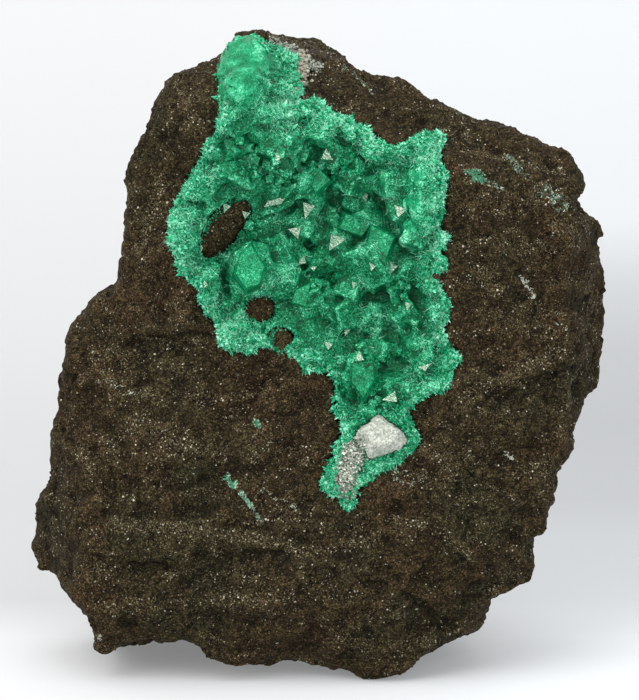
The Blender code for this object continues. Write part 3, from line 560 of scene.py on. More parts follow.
def ore_skin_group():
    """Dark brown ore with grain, flakes and painted shade in its hollows: its colour, where the
    flakes lie, height and tone.
    """
    tree, s, given, out = new_group(
        "ore skin",
        [("Point", "Vector", None), ("Proud", "Float", 0.0), ("Patch", "Float", 0.3)],
        [("Color", "Color"), ("Flake", "Float"), ("Height", "Float"), ("Tone", "Float")],
    )
    point = given["Point"]
    zone = s.span(s.noise(point, 0.09, 3.0, 0.55), 0.36, 0.64)
    warm = s.span(s.noise(s.vector("ADD", point, (40, 7, 3)), 0.16, 2.0), 0.48, 0.7)
    colour = s.mix(zone, BROWN_ORE, GREY_ORE)
    colour = s.mix(s.times(warm, 0.4), colour, RED_ORE)
    fine = group(s, GRAIN, Point=point, Size=0.16, Contrast=2.3)
    coarse = group(s, GRAIN, Point=point, Size=0.5, Contrast=0.7)
    # Painted shade and light: darker in hollows and cracks, lighter where the ore stands out.
    painted_hollow_shade = s.span(given["Proud"], -0.9, 0.7, 0.5, 1.2)
    shade = s.times(s.times(fine["Shade"], coarse["Shade"]), painted_hollow_shade)
    shade = s.calc("MINIMUM", s.calc("MAXIMUM", shade, 0.1), 5.0)
    colour = s.mix(1.0, colour, s.node("CombineColor", Red=shade, Green=shade, Blue=shade)
                   .outputs[0], "MULTIPLY")
    flake, tone = 0.0, 0.0
    for size, bare, thick, strength in FLAKES:
        found = group(s, FLECKS, Point=s.vector("ADD", point, (size, 9 * size, 1)), Size=size,
                      Share=s.plus(bare, s.times(given["Patch"], thick)))
        mask = s.times(found["Mask"], s.span(found["Tone"], 0.0, 1.0, 0.45 * strength, strength))
        tone = s.calc("MAXIMUM", tone, s.times(mask, found["Tone"]))
        flake = s.calc("MAXIMUM", flake, mask)
    # The flakes' colour: pale and brassy grains, the palest of them painted glints.
    s.feed(out["Color"], s.mix(flake, colour, s.ramp(tone, FLAKE_AND_GLINT_TONES)))
    s.feed(out["Flake"], flake)
    s.feed(out["Height"], s.plus(s.times(fine["Height"], 0.5), s.times(coarse["Height"], 0.9)))
    s.feed(out["Tone"], s.plus(s.times(fine["Tone"], 0.6), s.times(coarse["Tone"], 0.4)))
    return tree


ORE_SKIN = ore_skin_group()


def ore_material(strokes, glints):
    """Broken ore, with marks of other minerals and with thick patches of pale and brassy flakes,
    whose palest tones are painted glints.
    """
    material, s, shader, point = new_material("broken bornite ore")
    banded = s.vector("MULTIPLY", point, (0.25, 1.0, 1.1))
    patch = s.times(s.span(s.noise(banded, 0.3, 3.0, 0.65), 0.45, 0.63),
                    s.span(s.noise(point, 0.6, 3.0, 0.65), 0.42, 0.60, 0.12, 1.0))
    for place in glints:
        patch = s.calc("MAXIMUM", patch, s.times(stroke(s, point, *place, 0.35), 0.95))
    skin = group(s, ORE_SKIN, Point=point, Proud=s.read("proud"), Patch=patch)
    colour = skin["Color"]
    for *place, paint, strength in strokes:
        cover = s.calc("SUBTRACT", s.times(stroke(s, point, *place), strength), skin["Tone"])
        pale = s.mix(s.span(skin["Tone"], 0.05, 0.35), MARK_GRAINS, paint)
        colour = s.mix(s.span(cover, -0.04, 0.12), colour, pale)
    s.feed(shader.inputs["Base Color"], colour)
    s.feed(shader.inputs["Metallic"], s.times(skin["Flake"], 0.5))
    s.feed(shader.inputs["Roughness"], s.span(skin["Flake"], 0.0, 1.0, 0.7, 0.4))
    set_values(shader, Specular_IOR_Level=0.08)
    set_bump(s, shader, skin["Height"], 0.32)
    return material


# From the darkest green, deep in the mass and in its creases where the shade is painted, to its
# frosted tips.
GREENS = [
    (0.0, (0.002, 0.040, 0.013)), (0.25, (0.003, 0.098, 0.036)), (0.5, (0.003, 0.205, 0.078)),
    (0.7, (0.008, 0.36, 0.150)), (0.86, (0.055, 0.54, 0.28)), (1.0, (0.38, 0.83, 0.58)),
]


def crystal_colour_group():
    """Green of the crust's crystals: clouded, with pale sparks and fine pale threads."""
    tree, s, given, out = new_group(
        "crystal green",
        [("Point", "Vector", None), ("Light", "Float", 0.5), ("Frost", "Float", 0.3)],
        [("Color", "Color"), ("Frosted", "Float")],
    )
    cloud = s.calc("SUBTRACT", s.noise(given["Point"], 0.5, 3.0, 0.6), 0.5)
    found = s.cells(given["Point"], 6.0)
    parts = s.parts(found.outputs["Color"])
    level = s.plus(given["Light"], s.times(cloud, 0.7))
    level = s.plus(level, s.times(s.calc("SUBTRACT", parts[0], 0.5), given["Frost"]))
    spark = s.times(s.calc("LESS_THAN", parts[1], s.span(level, 0.35, 0.95, 0.01, 0.12)),
                    s.times(given["Frost"], 0.6))
    level = s.plus(level, s.times(spark, s.span(found.outputs["Distance"], 0.6, 0.4)))
    for per_mm, amount in ((1.7, 0.42), (3.1, 0.38)):
        threads = s.noise(s.vector("ADD", given["Point"], (per_mm, 5, 9)), per_mm, 4.0, 0.75)
        line = s.span(s.calc("ABSOLUTE", s.calc("SUBTRACT", threads, 0.5)), 0.022, 0.0)
        level = s.plus(level, s.times(line, s.times(amount, s.plus(0.3, given["Frost"]))))
    s.feed(out["Color"], s.ramp(level, GREENS))
    s.feed(out["Frosted"], s.span(level, 0.5, 1.0))
    return tree


CRYSTAL = crystal_colour_group()


def green_material(name, light, frost, roughness, depth):
    """Green crystal. light gives the level from the sketch. Lobes are clear of frost."""
    material, s, shader, point = new_material(name)
    frost = s.times(frost, s.span(s.read("lobe"), 0.2, 0.9, 1.0, 0.45))
    found = group(s, CRYSTAL, Point=point, Light=light(s), Frost=frost)
    film = s.span(s.plus(s.read("film"), s.times(s.noise(point, 1.6), 0.3)), 0.45, 0.6)
    s.feed(shader.inputs["Base Color"],
           s.mix(film, found["Color"], group(s, ORE_SKIN, Point=point)["Color"]))
    s.feed(shader.inputs["Roughness"], s.span(found["Frosted"], 0.0, 1.0, roughness, 0.5))
    set_values(shader, IOR=1.6, Specular_IOR_Level=0.14, Subsurface_Weight=0.25,
               Subsurface_Radius=(0.1, 1.0, 0.4), Subsurface_Scale=0.8 * MM)
    height = s.plus(s.noise(point, 3.5, 3.0, 0.7), s.times(s.noise(point, 11.0, 2.0, 0.6), 0.4))
    set_bump(s, shader, height, depth)
    return material


def crust_light(s):
    # Painted shade and light: darker in creases and lighter where the crust stands out.
    level = s.plus(0.31, s.times(s.read("proud"), 0.32))
    level = s.plus(level, s.times(s.read("lobe"), 0.07))
    # Frost lightens; its clear patches in the pocket darken, partly as painted shade.
    return s.plus(level, s.times(s.read("frost"), 0.24))


def small_light(s):
    """Small crystals are lighter at the tip and in frost, each with a tone of its own, and darker in
    the pocket's painted shade.
    """
    frost = s.read("frost")
    level = s.plus(-0.05, s.times(s.read("tip"), 0.34))
    level = s.plus(level, s.times(s.read("tone"), 0.56))
    level = s.plus(level, s.times(frost, 0.28))
    return s.calc("MINIMUM", level, s.plus(0.78, s.times(frost, 0.28)))


def blade_light(s):
    return s.plus(small_light(s), 0.05)


def needle_light(s):
    return s.plus(s.times(small_light(s), 0.6), 0.56)


def pale_material():
    """Faces of the larger crystals that are pale and lined."""
    material, s, shader, point = new_material("pale lined face")
    lines = s.node("TexWave", {"bands_direction": "DIAGONAL"}, Vector=point, Scale=1.5,
                   Distortion=16.0, Detail=4.0).outputs["Fac"]
    cloud = s.noise(point, 3.2, 4.0, 0.75)
    level = s.plus(s.times(lines, 0.22), s.times(cloud, 0.8))
    s.feed(shader.inputs["Base Color"], s.ramp(level, [
        (0.36, (0.012, 0.14, 0.07)), (0.47, (0.11, 0.31, 0.18)), (0.58, (0.40, 0.52, 0.38)),
        (0.72, (0.80, 0.81, 0.67)),
    ]))
    set_values(shader, Roughness=0.3, IOR=1.6, Subsurface_Weight=0.3,
               Subsurface_Radius=(0.5, 1.0, 0.7), Subsurface_Scale=0.8 * MM)
    set_bump(s, shader, lines, 0.05)
    return material


def calcite_material(name, dark, light, patch_mm, roughness, depth, milky=0.4, bare=None):
    """Calcite with clouds of patch_mm and a sugary skin. Ore covers it outside the bare lines."""
    material, s, shader, point = new_material(name)
    cloud = s.noise(point, 1.0 / patch_mm, 4.0, 0.62)
    grain = group(s, GRAIN, Point=point, Size=0.2, Contrast=1.5)
    level = s.times(s.span(cloud, 0.3, 0.7, 0.25, 1.0), s.calc("MINIMUM", grain["Shade"], 1.4))
    level = s.times(level, s.plus(0.1, s.times(s.read("tone"), 1.8)))
    colour = s.mix(level, dark, light)
    if bare:
        seen = 0.0
        for place in bare:
            seen = s.calc("MAXIMUM", seen, stroke(s, point, *place, 0.5))
        colour = s.mix(seen, group(s, ORE_SKIN, Point=point)["Color"], colour)
    s.feed(shader.inputs["Base Color"], colour)
    s.feed(shader.inputs["Roughness"], s.span(cloud, 0.3, 0.7, roughness, roughness + 0.2))
    set_values(shader, IOR=1.58, Specular_IOR_Level=0.15 if bare else 0.5, Subsurface_Weight=milky,
               Subsurface_Radius=(0.9, 1.0, 0.85), Subsurface_Scale=0.9 * MM)
    set_bump(s, shader, s.plus(grain["Height"], s.times(cloud, 2.0)), depth)
    return material


# Camera.

EYE_WAY = Vector((0, -math.cos(math.radians(ELEVATION)), math.sin(math.radians(ELEVATION))))
EYE_UP = Vector((0, math.sin(math.radians(ELEVATION)), math.cos(math.radians(ELEVATION))))
SENSOR = 36.0
DISTANCE = FIELD / SENSOR * LENS
EYE = Vector(TARGET) + EYE_WAY * DISTANCE


def make_camera():
    data = bpy.data.cameras.new("photo_angle")
    data.lens = LENS
    data.sensor_width = SENSOR
    data.clip_start = 0.01
    data.clip_end = 20
    camera = put_in("photo_angle", data)
    camera.location = EYE * MM
    camera.rotation_euler = (-EYE_WAY).to_track_quat("-Z", "Y").to_euler()
    scene.camera = camera


def sight(px, py):
    """The way from the camera through a point of the picture."""
    step = FIELD / PICTURE[1]
    across, up = (px - PICTURE[0] / 2) * step, (PICTURE[1] / 2 - py) * step
    return (Vector(TARGET) + Vector((across, 0, 0)) + EYE_UP * up - EYE).normalized()


def traced(tree, places):
    """The surface's points under places of the picture, in millimetres."""
    found = []
    for px, py in places:
        hit = tree.ray_cast(EYE, sight(px, py))[0]
        if hit is not None:
            found.append(hit)
    return found


def lines_on(node, lines):
    """Lines of the picture laid on a solid: their ends in millimetres, then their other values."""
    tree = tree_of(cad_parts[node])
    laid = []
    for start, end, *rest in lines:
        found = traced(tree, [start, end])
        if len(found) == 2:
            laid.append((tuple(found[0]), tuple(found[1]), *rest))
    return laid


# The ore.

# Cracks and ledge shadows on the front, as lines in the picture: points, width and depth in mm.
CRACKS = [
    ([(128, 346), (150, 340), (172, 341), (190, 335), (214, 336)], 0.55, 0.8),
    ([(225, 352), (262, 362), (290, 372)], 0.5, 0.4),
    ([(498, 392), (520, 384), (545, 376), (576, 366)], 0.6, 0.7),
    ([(408, 450), (440, 430), (476, 410), (500, 392)], 0.5, 0.4),
    ([(60, 430), (76, 446), (92, 452), (108, 470)], 0.6, 0.35),
    ([(380, 558), (398, 580), (412, 600), (430, 612)], 0.5, 0.35),
    ([(430, 520), (455, 548), (478, 575), (500, 602)], 0.5, 0.3),
    ([(240, 560), (270, 552), (300, 556), (332, 548)], 0.5, 0.25),
    ([(120, 520), (150, 512), (180, 516), (214, 508)], 0.6, 0.25),
    ([(60, 300), (64, 340), (62, 390), (70, 440)], 0.7, 0.3),
]


# Windows where bare ore shows in the crust: middle and radii in the picture, and tilt in degrees.
WINDOWS = [((226, 229), (35, 14), 51), ((261, 309), (14, 12), 0), ((283, 339), (9, 10), 0)]


def line_distance(points, line):
    """How far points are from a line of straight pieces."""
    nearest = np.full(len(points), 1e9)
    for a, b in zip(line, line[1:]):
        a, b = np.array(a), np.array(b)
        along = b - a
        t = np.clip((points - a) @ along / (along @ along), 0, 1)
        nearest = np.minimum(nearest, np.linalg.norm(points - a - t[:, None] * along, axis=1))
    return nearest


# The relief of the broken ore, in mm. Lumps: height, size and where their noise is read. Facets:
# height and size, then the same for the lumps that bend their edges, with octaves.
ORE_LUMPS = [(0.12, 5.0, 0), (0.10, 1.5, 50)]
ORE_FACETS = [(0.55, 4.2, (0.6, 1.5, 3, 2)), (0.25, 1.7, (0.3, 0.8, 7, 1))]
ORE_GRIT = 0.05
ORE_BANDS = 0.3
WINDOW_RISE = 0.72
CREST_RISE = 0.45


def broken_relief(points, rng):
    """How far each point of the broken ore is lifted, in mm."""
    lift = sum(height * lumps(points + place, size) for height, size, place in ORE_LUMPS)
    for height, size, (bend, bend_size, place, octaves) in ORE_FACETS:
        bent = points + bend * lumps(points + place, bend_size, octaves)[:, None]
        lift = lift + height * facets(bent, size, rng)
    return lift + ORE_GRIT * rng.normal(size=len(points))


def bedding(points, in_face):
    """Bands across the lower part of the block."""
    lower = 1 - ease((in_face[:, 2] - 30) / 14)
    wavy = points * [0.3, 1, 1] + 5 * lumps(points, 12.0, 2)[:, None] * [0, 0, 0.2]
    return lumps(wavy, 2.2) * lower


def windows_at(in_face):
    """Swellings of the ore where it shows through the crust, up to 1 in the middle of each."""
    total = np.zeros(len(in_face))
    for (px, py), (wide, high), tilt in WINDOWS:
        across = in_face[:, 0] / PICTURE_STEP + PICTURE_ZERO[0] - px
        up = PICTURE_ZERO[1] - in_face[:, 2] / PICTURE_STEP - py
        turn = math.radians(tilt)
        a = (across * math.cos(turn) - up * math.sin(turn)) / wide
        b = (across * math.sin(turn) + up * math.cos(turn)) / high
        total += np.exp(-(((a * a + b * b) / 1.6) ** 3))
    return total


def crest_at(points):
    """A swelling of the ore, up to 1, where it meets the grey calcite of the crest."""
    reach, foot = 1.5, 68
    cap = tree_of(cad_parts["grey_calcite_cap"])
    near = np.array([cap.find_nearest(Vector(p), reach)[3] or 0 if p[2] > foot else 0
                     for p in points])
    return np.where(near > 0, ease((reach - near) / 1.2), 0)


def make_ore(material):
    rock = fine_copy("bornite_matrix", "bornite_rock", 0.48, material)
    points, edges = points_of(rock), edges_of(rock)
    above_sole = ease((points[:, 2] - 0.2) / 0.8)
    points = softened(points, edges, 14, 1 - above_sole)
    set_points(rock, points)
    ways = normals_of(rock)
    in_face = to_face(points)
    front = ease((-ways[:, 1] - 0.2) / 0.4)
    pocket = ease((rim_distance(in_face[:, [0, 2]], CRUST_OUTLINE) + 0.2) / 0.8) * front
    lift = broken_relief(points, np.random.default_rng(11))
    lift += ORE_BANDS * bedding(points, in_face) * front
    tree = tree_of(rock)
    for line, width, depth in CRACKS:
        lift -= depth * np.exp(-((line_distance(points, traced(tree, line)) / width) ** 2))
    lift *= above_sole * (1 - 0.8 * pocket)
    lift += WINDOW_RISE * front * windows_at(in_face) + CREST_RISE * crest_at(points)
    set_points(rock, points + ways * lift[:, None])
    mark_proud(rock, edges, 7, 0.25)
    return rock


# The green crust.

# Patches of the crust by the picture: place, radius and amount. Above 0 is white with frost, and
# below 0 is clear, darker crystal; in the pocket, most of all under its upper rim, that darkening is
# painted shade as well.
FROST_AND_SHADE_PATCHES = [
    (240, 108, 5, 0.6), (258, 104, 5, 0.5), (247, 92, 4, 0.5), (237, 71, 4, 0.9),
    (232, 87, 4, 0.8), (285, 63, 6, 0.7), (290, 108, 14, 0.5), (285, 125, 22, 0.55),
    (330, 125, 16, 0.45), (365, 150, 14, 0.4), (395, 165, 12, 0.4),
    (432, 160, 12, 0.6), (436, 200, 12, 0.7), (434, 240, 12, 0.6), (430, 285, 10, 0.4),
    (440, 330, 12, 0.3), (440, 370, 14, 0.2), (188, 225, 14, 0.6), (200, 190, 10, 0.4),
    (190, 260, 10, 0.5), (215, 300, 12, 0.6), (235, 330, 16, 0.8), (265, 340, 12, 0.5),
    (258, 282, 9, 0.8), (285, 275, 10, 0.4), (372, 318, 11, 0.6), (340, 240, 8, 0.4),
    (380, 250, 10, 0.4), (330, 350, 12, 0.2), (345, 430, 10, 0.3),
    (395, 425, 14, -0.1), (375, 395, 20, -0.45),
    (290, 175, 26, -0.7), (345, 170, 22, -0.7), (250, 170, 16, -0.5), (250, 235, 14, -0.7),
    (325, 285, 20, -0.5), (400, 290, 16, -0.5), (365, 365, 14, -0.5), (348, 390, 10, -0.9),
    (412, 215, 8, -0.3), (240, 150, 16, -0.6), (300, 330, 14, -0.4), (400, 350, 14, -0.3),
]

# Rounded, glassy lobes without frost.
LOBES = [
    (240, 62, 20, 1.0), (258, 66, 18, 1.0), (247, 99, 15, 1.0), (226, 85, 15, 1.0),
    (219, 78, 12, 0.8), (228, 50, 12, 0.8), (250, 42, 10, 0.7), (217, 98, 10, 0.7),
    (278, 62, 9, 0.5), (413, 205, 9, 1.0), (411, 230, 9, 1.0), (416, 180, 8, 0.8),
    (303, 180, 12, 0.7), (262, 185, 14, 0.6), (330, 345, 10, 0.5), (395, 250, 10, 0.6),
]

# Round swellings on the lobes, up to that many mm high.
SWELLINGS = [(247, 100, 10, 0.75), (236, 72, 10, 0.3), (262, 58, 10, 0.4), (414, 216, 9, 0.4),
             (228, 86, 8, 0.3), (303, 181, 9, 0.5)]

# The lobes are evened by that many rounds, which takes about this much off them, in mm, and it is
# given back. Inside the pocket the crust is evened by a share of that.
EVEN_ROUNDS = 90
LOBE_SWELL = 0.65
POCKET_EVEN = 0.35

# Films of ore that stay on top of the crust.
ORE_FILMS = [(239, 31, 7, 1.1), (264, 36, 6, 1.0)]


def patches(points, spots):
    """The sum of soft round patches over the broken face."""
    face = to_face(points)
    total = np.zeros(len(points))
    for px, py, radius, amount in spots:
        away = np.hypot(face[:, 0] - (px - PICTURE_ZERO[0]) * PICTURE_STEP,
                        face[:, 2] - (PICTURE_ZERO[1] - py) * PICTURE_STEP)
        total += amount * np.exp(-((away / (radius * PICTURE_STEP)) ** 2))
    return total


def frost_and_shade_over(points):
    """How frosted the crust is, from about -1 for clear crystal to 1, with painted shade in the
    pocket's clear patches.
    """
    rim = rim_distance(to_face(points)[:, [0, 2]], CRUST_OUTLINE)
    even = np.clip(patches(points, LOBES), 0, 1)
    frost = 0.55 * np.exp(-np.maximum(rim, 0) / 1.3) + 0.35 * lumps(points + 60, 2.0, 2)
    return np.clip(patches(points, FROST_AND_SHADE_PATCHES) + frost * (1 - 0.9 * even), -1, 1)


def make_crust(material):
    crust = fine_copy("green_crystal_crust", "green_crust", 0.3, material)
    points, edges = points_of(crust), edges_of(crust)
    points = softened(points, edges, 7)
    evened = neighbour_mean(points, edges, EVEN_ROUNDS)
    lobe = np.clip(patches(points, LOBES), 0, 1)
    inner = ease((rim_distance(to_face(points)[:, [0, 2]], CRUST_OUTLINE) - 1.0) / 3.0)
    points = points + (evened - points) * np.maximum(lobe, POCKET_EVEN * inner)[:, None]
    set_points(crust, points)
    ways = normals_of(crust)
    points = points + LOBE_SWELL * lobe[:, None] * ways
    rim = rim_distance(to_face(points)[:, [0, 2]], CRUST_OUTLINE)
    lift = np.exp(-np.maximum(rim, 0) / 0.6) * (0.25 + 0.6 * lumps(points + 31, 1.2, 2))
    lift += 0.16 * lumps(points, 1.3) + 0.10 * (ridges(points + 9, 0.8, 2) - 0.8)
    lift = lift * (1 - 0.85 * lobe) + 0.2 * lobe * lumps(points + 17, 2.4)
    lift += patches(points, SWELLINGS) * ease((-ways[:, 1] - 0.1) / 0.4)
    set_points(crust, points + ways * lift[:, None])
    mark_proud(crust, edges, 10, 0.22)
    mark(crust, "frost", frost_and_shade_over(points))
    mark(crust, "lobe", lobe)
    mark(crust, "film", patches(points, ORE_FILMS))
    return crust


# How many spots of the crust are tried for small crystals, the mm of free air that each needs,
# the share of spots that stay bare on the lobes, and how many crystals of each kind grow.
TRIED = 60000
FREE_AIR = 1.0
LOBE_BARE = 0.93
GROWN = {"crust_points": 420, "crust_druse": 10000, "rim_crumbs": 6500, "rim_blades": 8500,
         "crust_needles": 9000}


def grow_small_crystals(crust, rock, materials):
    """The frost of small crystals over the crust, longest and palest around its rim."""
    rng = np.random.default_rng(7)
    tree = tree_of(crust, rock)
    spots, ways = samples(crust, TRIED, rng)
    open_air = in_the_open(spots, ways, tree, FREE_AIR) & (patches(spots, ORE_FILMS) < 0.25)
    open_air &= rng.random(len(spots)) > LOBE_BARE * np.clip(patches(spots, LOBES), 0, 1)
    spots, ways = spots[open_air], ways[open_air]
    on_face = to_face(spots)[:, [0, 2]]
    away = outward_of_rim(on_face, CRUST_OUTLINE)
    outward = unit(from_face(np.stack([away[:, 0], 0 * away[:, 0], away[:, 1]], 1))
                   - from_face(np.zeros((1, 3))))
    band = np.exp(-np.maximum(rim_distance(on_face, CRUST_OUTLINE), 0) / 1.0)
    # Frost and the pocket's painted shade, which each crystal carries.
    frost = frost_and_shade_over(spots)
    tuft = ease((lumps(spots + 80, 0.9, 2) + 0.35) / 0.6)
    jitter = rng.normal(size=spots.shape)
    draw = rng.random(len(spots))

    def choose(name, wanted):
        """Spots for the crystals of that name, more often where wanted is high."""
        wanted = np.maximum(wanted, 0.01)
        order = np.argsort(-(wanted / wanted.max()) * rng.random(len(spots)) ** 0.6)
        return order[:GROWN[name]]

    def grown(name, form, pick, sink, ways, widths, lengths, material, flat=1.0):
        grow(name, form, spots[pick] - sink * unit(ways), ways, widths, lengths, rng,
             "green_crystal", material, flat, tone=draw[pick], frost=frost[pick])

    pick = choose("crust_points", 0.6 - 0.5 * frost)
    size = rng.uniform(0.5, 1.15, len(pick))
    grown("crust_points", "rhomb", pick, size[:, None] * 0.5, ways[pick] + 0.5 * jitter[pick],
          size * 0.75, size * 1.5, materials["points"])

    inner = ease((rim_distance(on_face, CRUST_OUTLINE) - 2.0) / 3.0)
    pick = choose("crust_druse", 0.4 + 0.6 * frost - 0.25 * inner)
    size = rng.lognormal(-1.75, 0.42, len(pick)) * (1 + 0.3 * frost[pick])
    grown("crust_druse", "tooth", pick, 0.08, ways[pick] + 0.6 * jitter[pick],
          size * 0.5, size * rng.uniform(1.0, 1.7, len(pick)), materials["small"])

    pick = choose("rim_crumbs", 0.02 + band)
    size = rng.uniform(0.12, 0.38, len(pick))
    grown("rim_crumbs", "rhomb", pick, 0.06, ways[pick] + 0.5 * outward[pick] + jitter[pick],
          size * 0.7, size * 1.3, materials["blade"])

    pick = choose("rim_blades", (0.02 + band) * (0.15 + tuft))
    length = rng.uniform(0.22, 0.8, len(pick)) * (0.55 + 0.75 * tuft[pick] * band[pick])
    grown("rim_blades", "blade", pick, 0.12,
          0.7 * ways[pick] + 0.8 * outward[pick] * band[pick][:, None] + 0.75 * jitter[pick],
          length * rng.uniform(0.1, 0.2, len(pick)), length, materials["blade"], 0.5)

    pick = choose("crust_needles", 0.35 + 0.5 * frost)
    tangent = unit(np.cross(ways[pick], jitter[pick]))
    grown("crust_needles", "spike", pick, -0.03, tangent + 0.5 * ways[pick],
          0.03 + 0.016 * draw[pick], rng.uniform(0.4, 1.1, len(pick)), materials["needle"])
    return tree


def scattered_along(line, count, spread, rng):
    """Places in the picture, scattered about a line of points."""
    line = np.array(line, float)
    step = np.linalg.norm(np.diff(line, axis=0), axis=1)
    reach = np.concatenate([[0], np.cumsum(step)])
    t = rng.random(count) * reach[-1]
    middle = np.stack([np.interp(t, reach, line[:, k]) for k in (0, 1)], 1)
    return middle + spread * rng.normal(size=(count, 2))


def grow_along(name, form, line, count, spread, size, tree, rng, slot, material):
    """Crystals on whatever the picture shows along a line. size is shortest, longest, stoutness."""
    roots, ways = [], []
    for px, py in scattered_along(line, count, spread, rng):
        hit, way = tree.ray_cast(EYE, sight(px, py))[:2]
        if hit is not None:
            roots.append(hit)
            ways.append(way if way.dot(EYE_WAY) > 0 else -way)
    roots, ways = np.array(roots), np.array(ways)
    shortest, longest, stout = size
    lengths = rng.uniform(shortest, longest, len(roots))
    ways = unit(ways + 0.7 * rng.normal(size=ways.shape))
    grow(name, form, roots - ways * lengths[:, None] * 0.3, ways, lengths * stout, lengths,
         rng, slot, material, tone=rng.random(len(roots)), frost=np.full(len(roots), 0.2))


# Pale faces of the larger crystals, by their corners in the picture, and how far each stands out.
PALE_FACES = [
    ([(277, 152), (281, 158), (275, 163)], 0.5),
    ([(326, 148), (333, 160), (321, 159)], 0.6),
    ([(287, 196), (268, 201), (264, 207), (281, 204)], 0.5),
    ([(303, 202), (315, 206), (305, 219)], 0.6),
    ([(223, 203), (231, 206), (224, 213)], 0.5),
    ([(242, 211), (250, 213), (245, 219)], 0.5),
    ([(288, 229), (301, 227), (298, 239)], 0.6),
    ([(331, 234), (346, 239), (329, 251)], 0.7),
    ([(355, 190), (368, 194), (365, 208)], 0.5),
    ([(394, 205), (408, 209), (398, 217)], 0.6),
    ([(304, 255), (306, 263), (295, 266)], 0.5),
    ([(310, 267), (317, 266), (314, 271)], 0.6),
    ([(369, 262), (376, 266), (371, 271)], 0.4),
    ([(390, 262), (398, 266), (391, 273)], 0.4),
    ([(352, 281), (357, 284), (353, 289)], 0.5),
    ([(405, 302), (411, 304), (407, 311)], 0.5),
    ([(344, 326), (350, 330), (345, 336)], 0.5),
    ([(324, 341), (333, 344), (328, 350)], 0.5),
    ([(359, 350), (364, 360), (355, 361)], 0.8),
    ([(418, 367), (432, 363), (425, 371)], 0.6),
    ([(382, 400), (395, 391), (397, 402)], 0.6),
    ([(258, 283), (265, 284), (261, 289)], 0.4),
    ([(200, 243), (203, 248), (200, 254)], 0.4),
    ([(204, 280), (208, 285), (203, 289)], 0.4),
]


# Green faces of the larger crystals, in the same way.
GREEN_FACES = [
    ([(251, 246), (264, 266), (259, 284), (246, 288), (236, 274), (240, 256)], 0.6),
    ([(346, 214), (372, 222), (362, 236), (340, 228)], 0.5),
    ([(372, 226), (394, 238), (384, 262), (366, 250)], 0.5),
    ([(305, 176), (318, 168), (330, 180), (316, 192)], 0.4),
    ([(296, 290), (310, 284), (306, 306), (292, 302)], 0.5),
    ([(353, 363), (372, 361), (374, 380), (363, 397), (352, 382)], 0.7),
    ([(224, 140), (246, 134), (250, 152), (230, 160)], 0.4),
]


# Each of those crystals widens that much towards its back, and goes that deep into the crust.
BODY_SPREAD = 1.35
BODY_DEPTH = 1.3


def make_faces(tree, pale, body, clear):
    """One closed mesh of crystal corners, each with its pale or clear face towards the front."""
    rng = np.random.default_rng(3)
    bm = bmesh.new()
    every = [(*one, 1) for one in PALE_FACES] + [(*one, 2) for one in GREEN_FACES]
    for corners, proud, paint in every:
        hit = traced(tree, [np.mean(corners, 0)])
        if not hit:
            continue
        tilt = Vector((rng.uniform(-0.3, 0.1), 0, rng.uniform(0.0, 0.35)))
        way = (EYE_WAY + tilt).normalized()
        anchor = hit[0] + EYE_WAY * proud
        front = []
        for px, py in corners:
            line = sight(px, py)
            front.append(EYE + line * ((anchor - EYE).dot(way) / line.dot(way)))
        centre = sum(front, Vector()) / len(front)
        back = [centre + (p - centre) * BODY_SPREAD - EYE_WAY * (proud + BODY_DEPTH) for p in front]
        made_front = [bm.verts.new(p * MM) for p in front]
        made_back = [bm.verts.new(p * MM) for p in back]
        bm.faces.new(made_front).material_index = paint
        bm.faces.new(made_back[::-1])
        for k in range(len(front)):
            n = (k + 1) % len(front)
            bm.faces.new([made_front[k], made_back[k], made_back[n], made_front[n]])
    bmesh.ops.recalc_face_normals(bm, faces=bm.faces)
    mesh = bpy.data.meshes.new("crystal_faces")
    bm.to_mesh(mesh)
    bm.free()
    obj = add_piece("crystal_faces", mesh, [body, pale, clear])
    count = len(mesh.vertices)
    mark(obj, "tip", np.full(count, 0.5))
    mark(obj, "tone", rng.uniform(0.25, 0.65, count))
    mark(obj, "frost", np.zeros(count))
    mark(obj, "lobe", np.full(count, 0.5))


# Calcite.


def make_calcite(node, name, voxel, material, rounds, coarse, fine, swell=0.0):
    """A calcite piece, softened by that many rounds, with coarse and fine relief and swell in mm."""
    piece = fine_copy(node, name, voxel, material)
    points, edges = points_of(piece), edges_of(piece)
    points = softened(points, edges, rounds)
    set_points(piece, points)
    lift = swell + coarse * lumps(points, 1.6) + fine * (ridges(points, 0.5, 2) - 0.8)
    lift += 1.5 * coarse * facets(points, 1.4, np.random.default_rng(5))
    set_points(piece, points + normals_of(piece) * lift[:, None])
    mark(piece, "tone", np.full(len(points), 0.5))
    return piece


def around(window, steps=24, gap=2.5):
    """A closed line of the picture around a window, a little outside it."""
    (px, py), (wide, high), tilt = window
    turn = math.radians(tilt)
    line = []
    for step in range(steps + 1):
        angle = math.tau * step / steps
        a, b = (wide + gap) * math.cos(angle), (high + gap) * math.sin(angle)
        line.append((px + a * math.cos(turn) + b * math.sin(turn),
                     py - a * math.sin(turn) + b * math.cos(turn)))
    return line


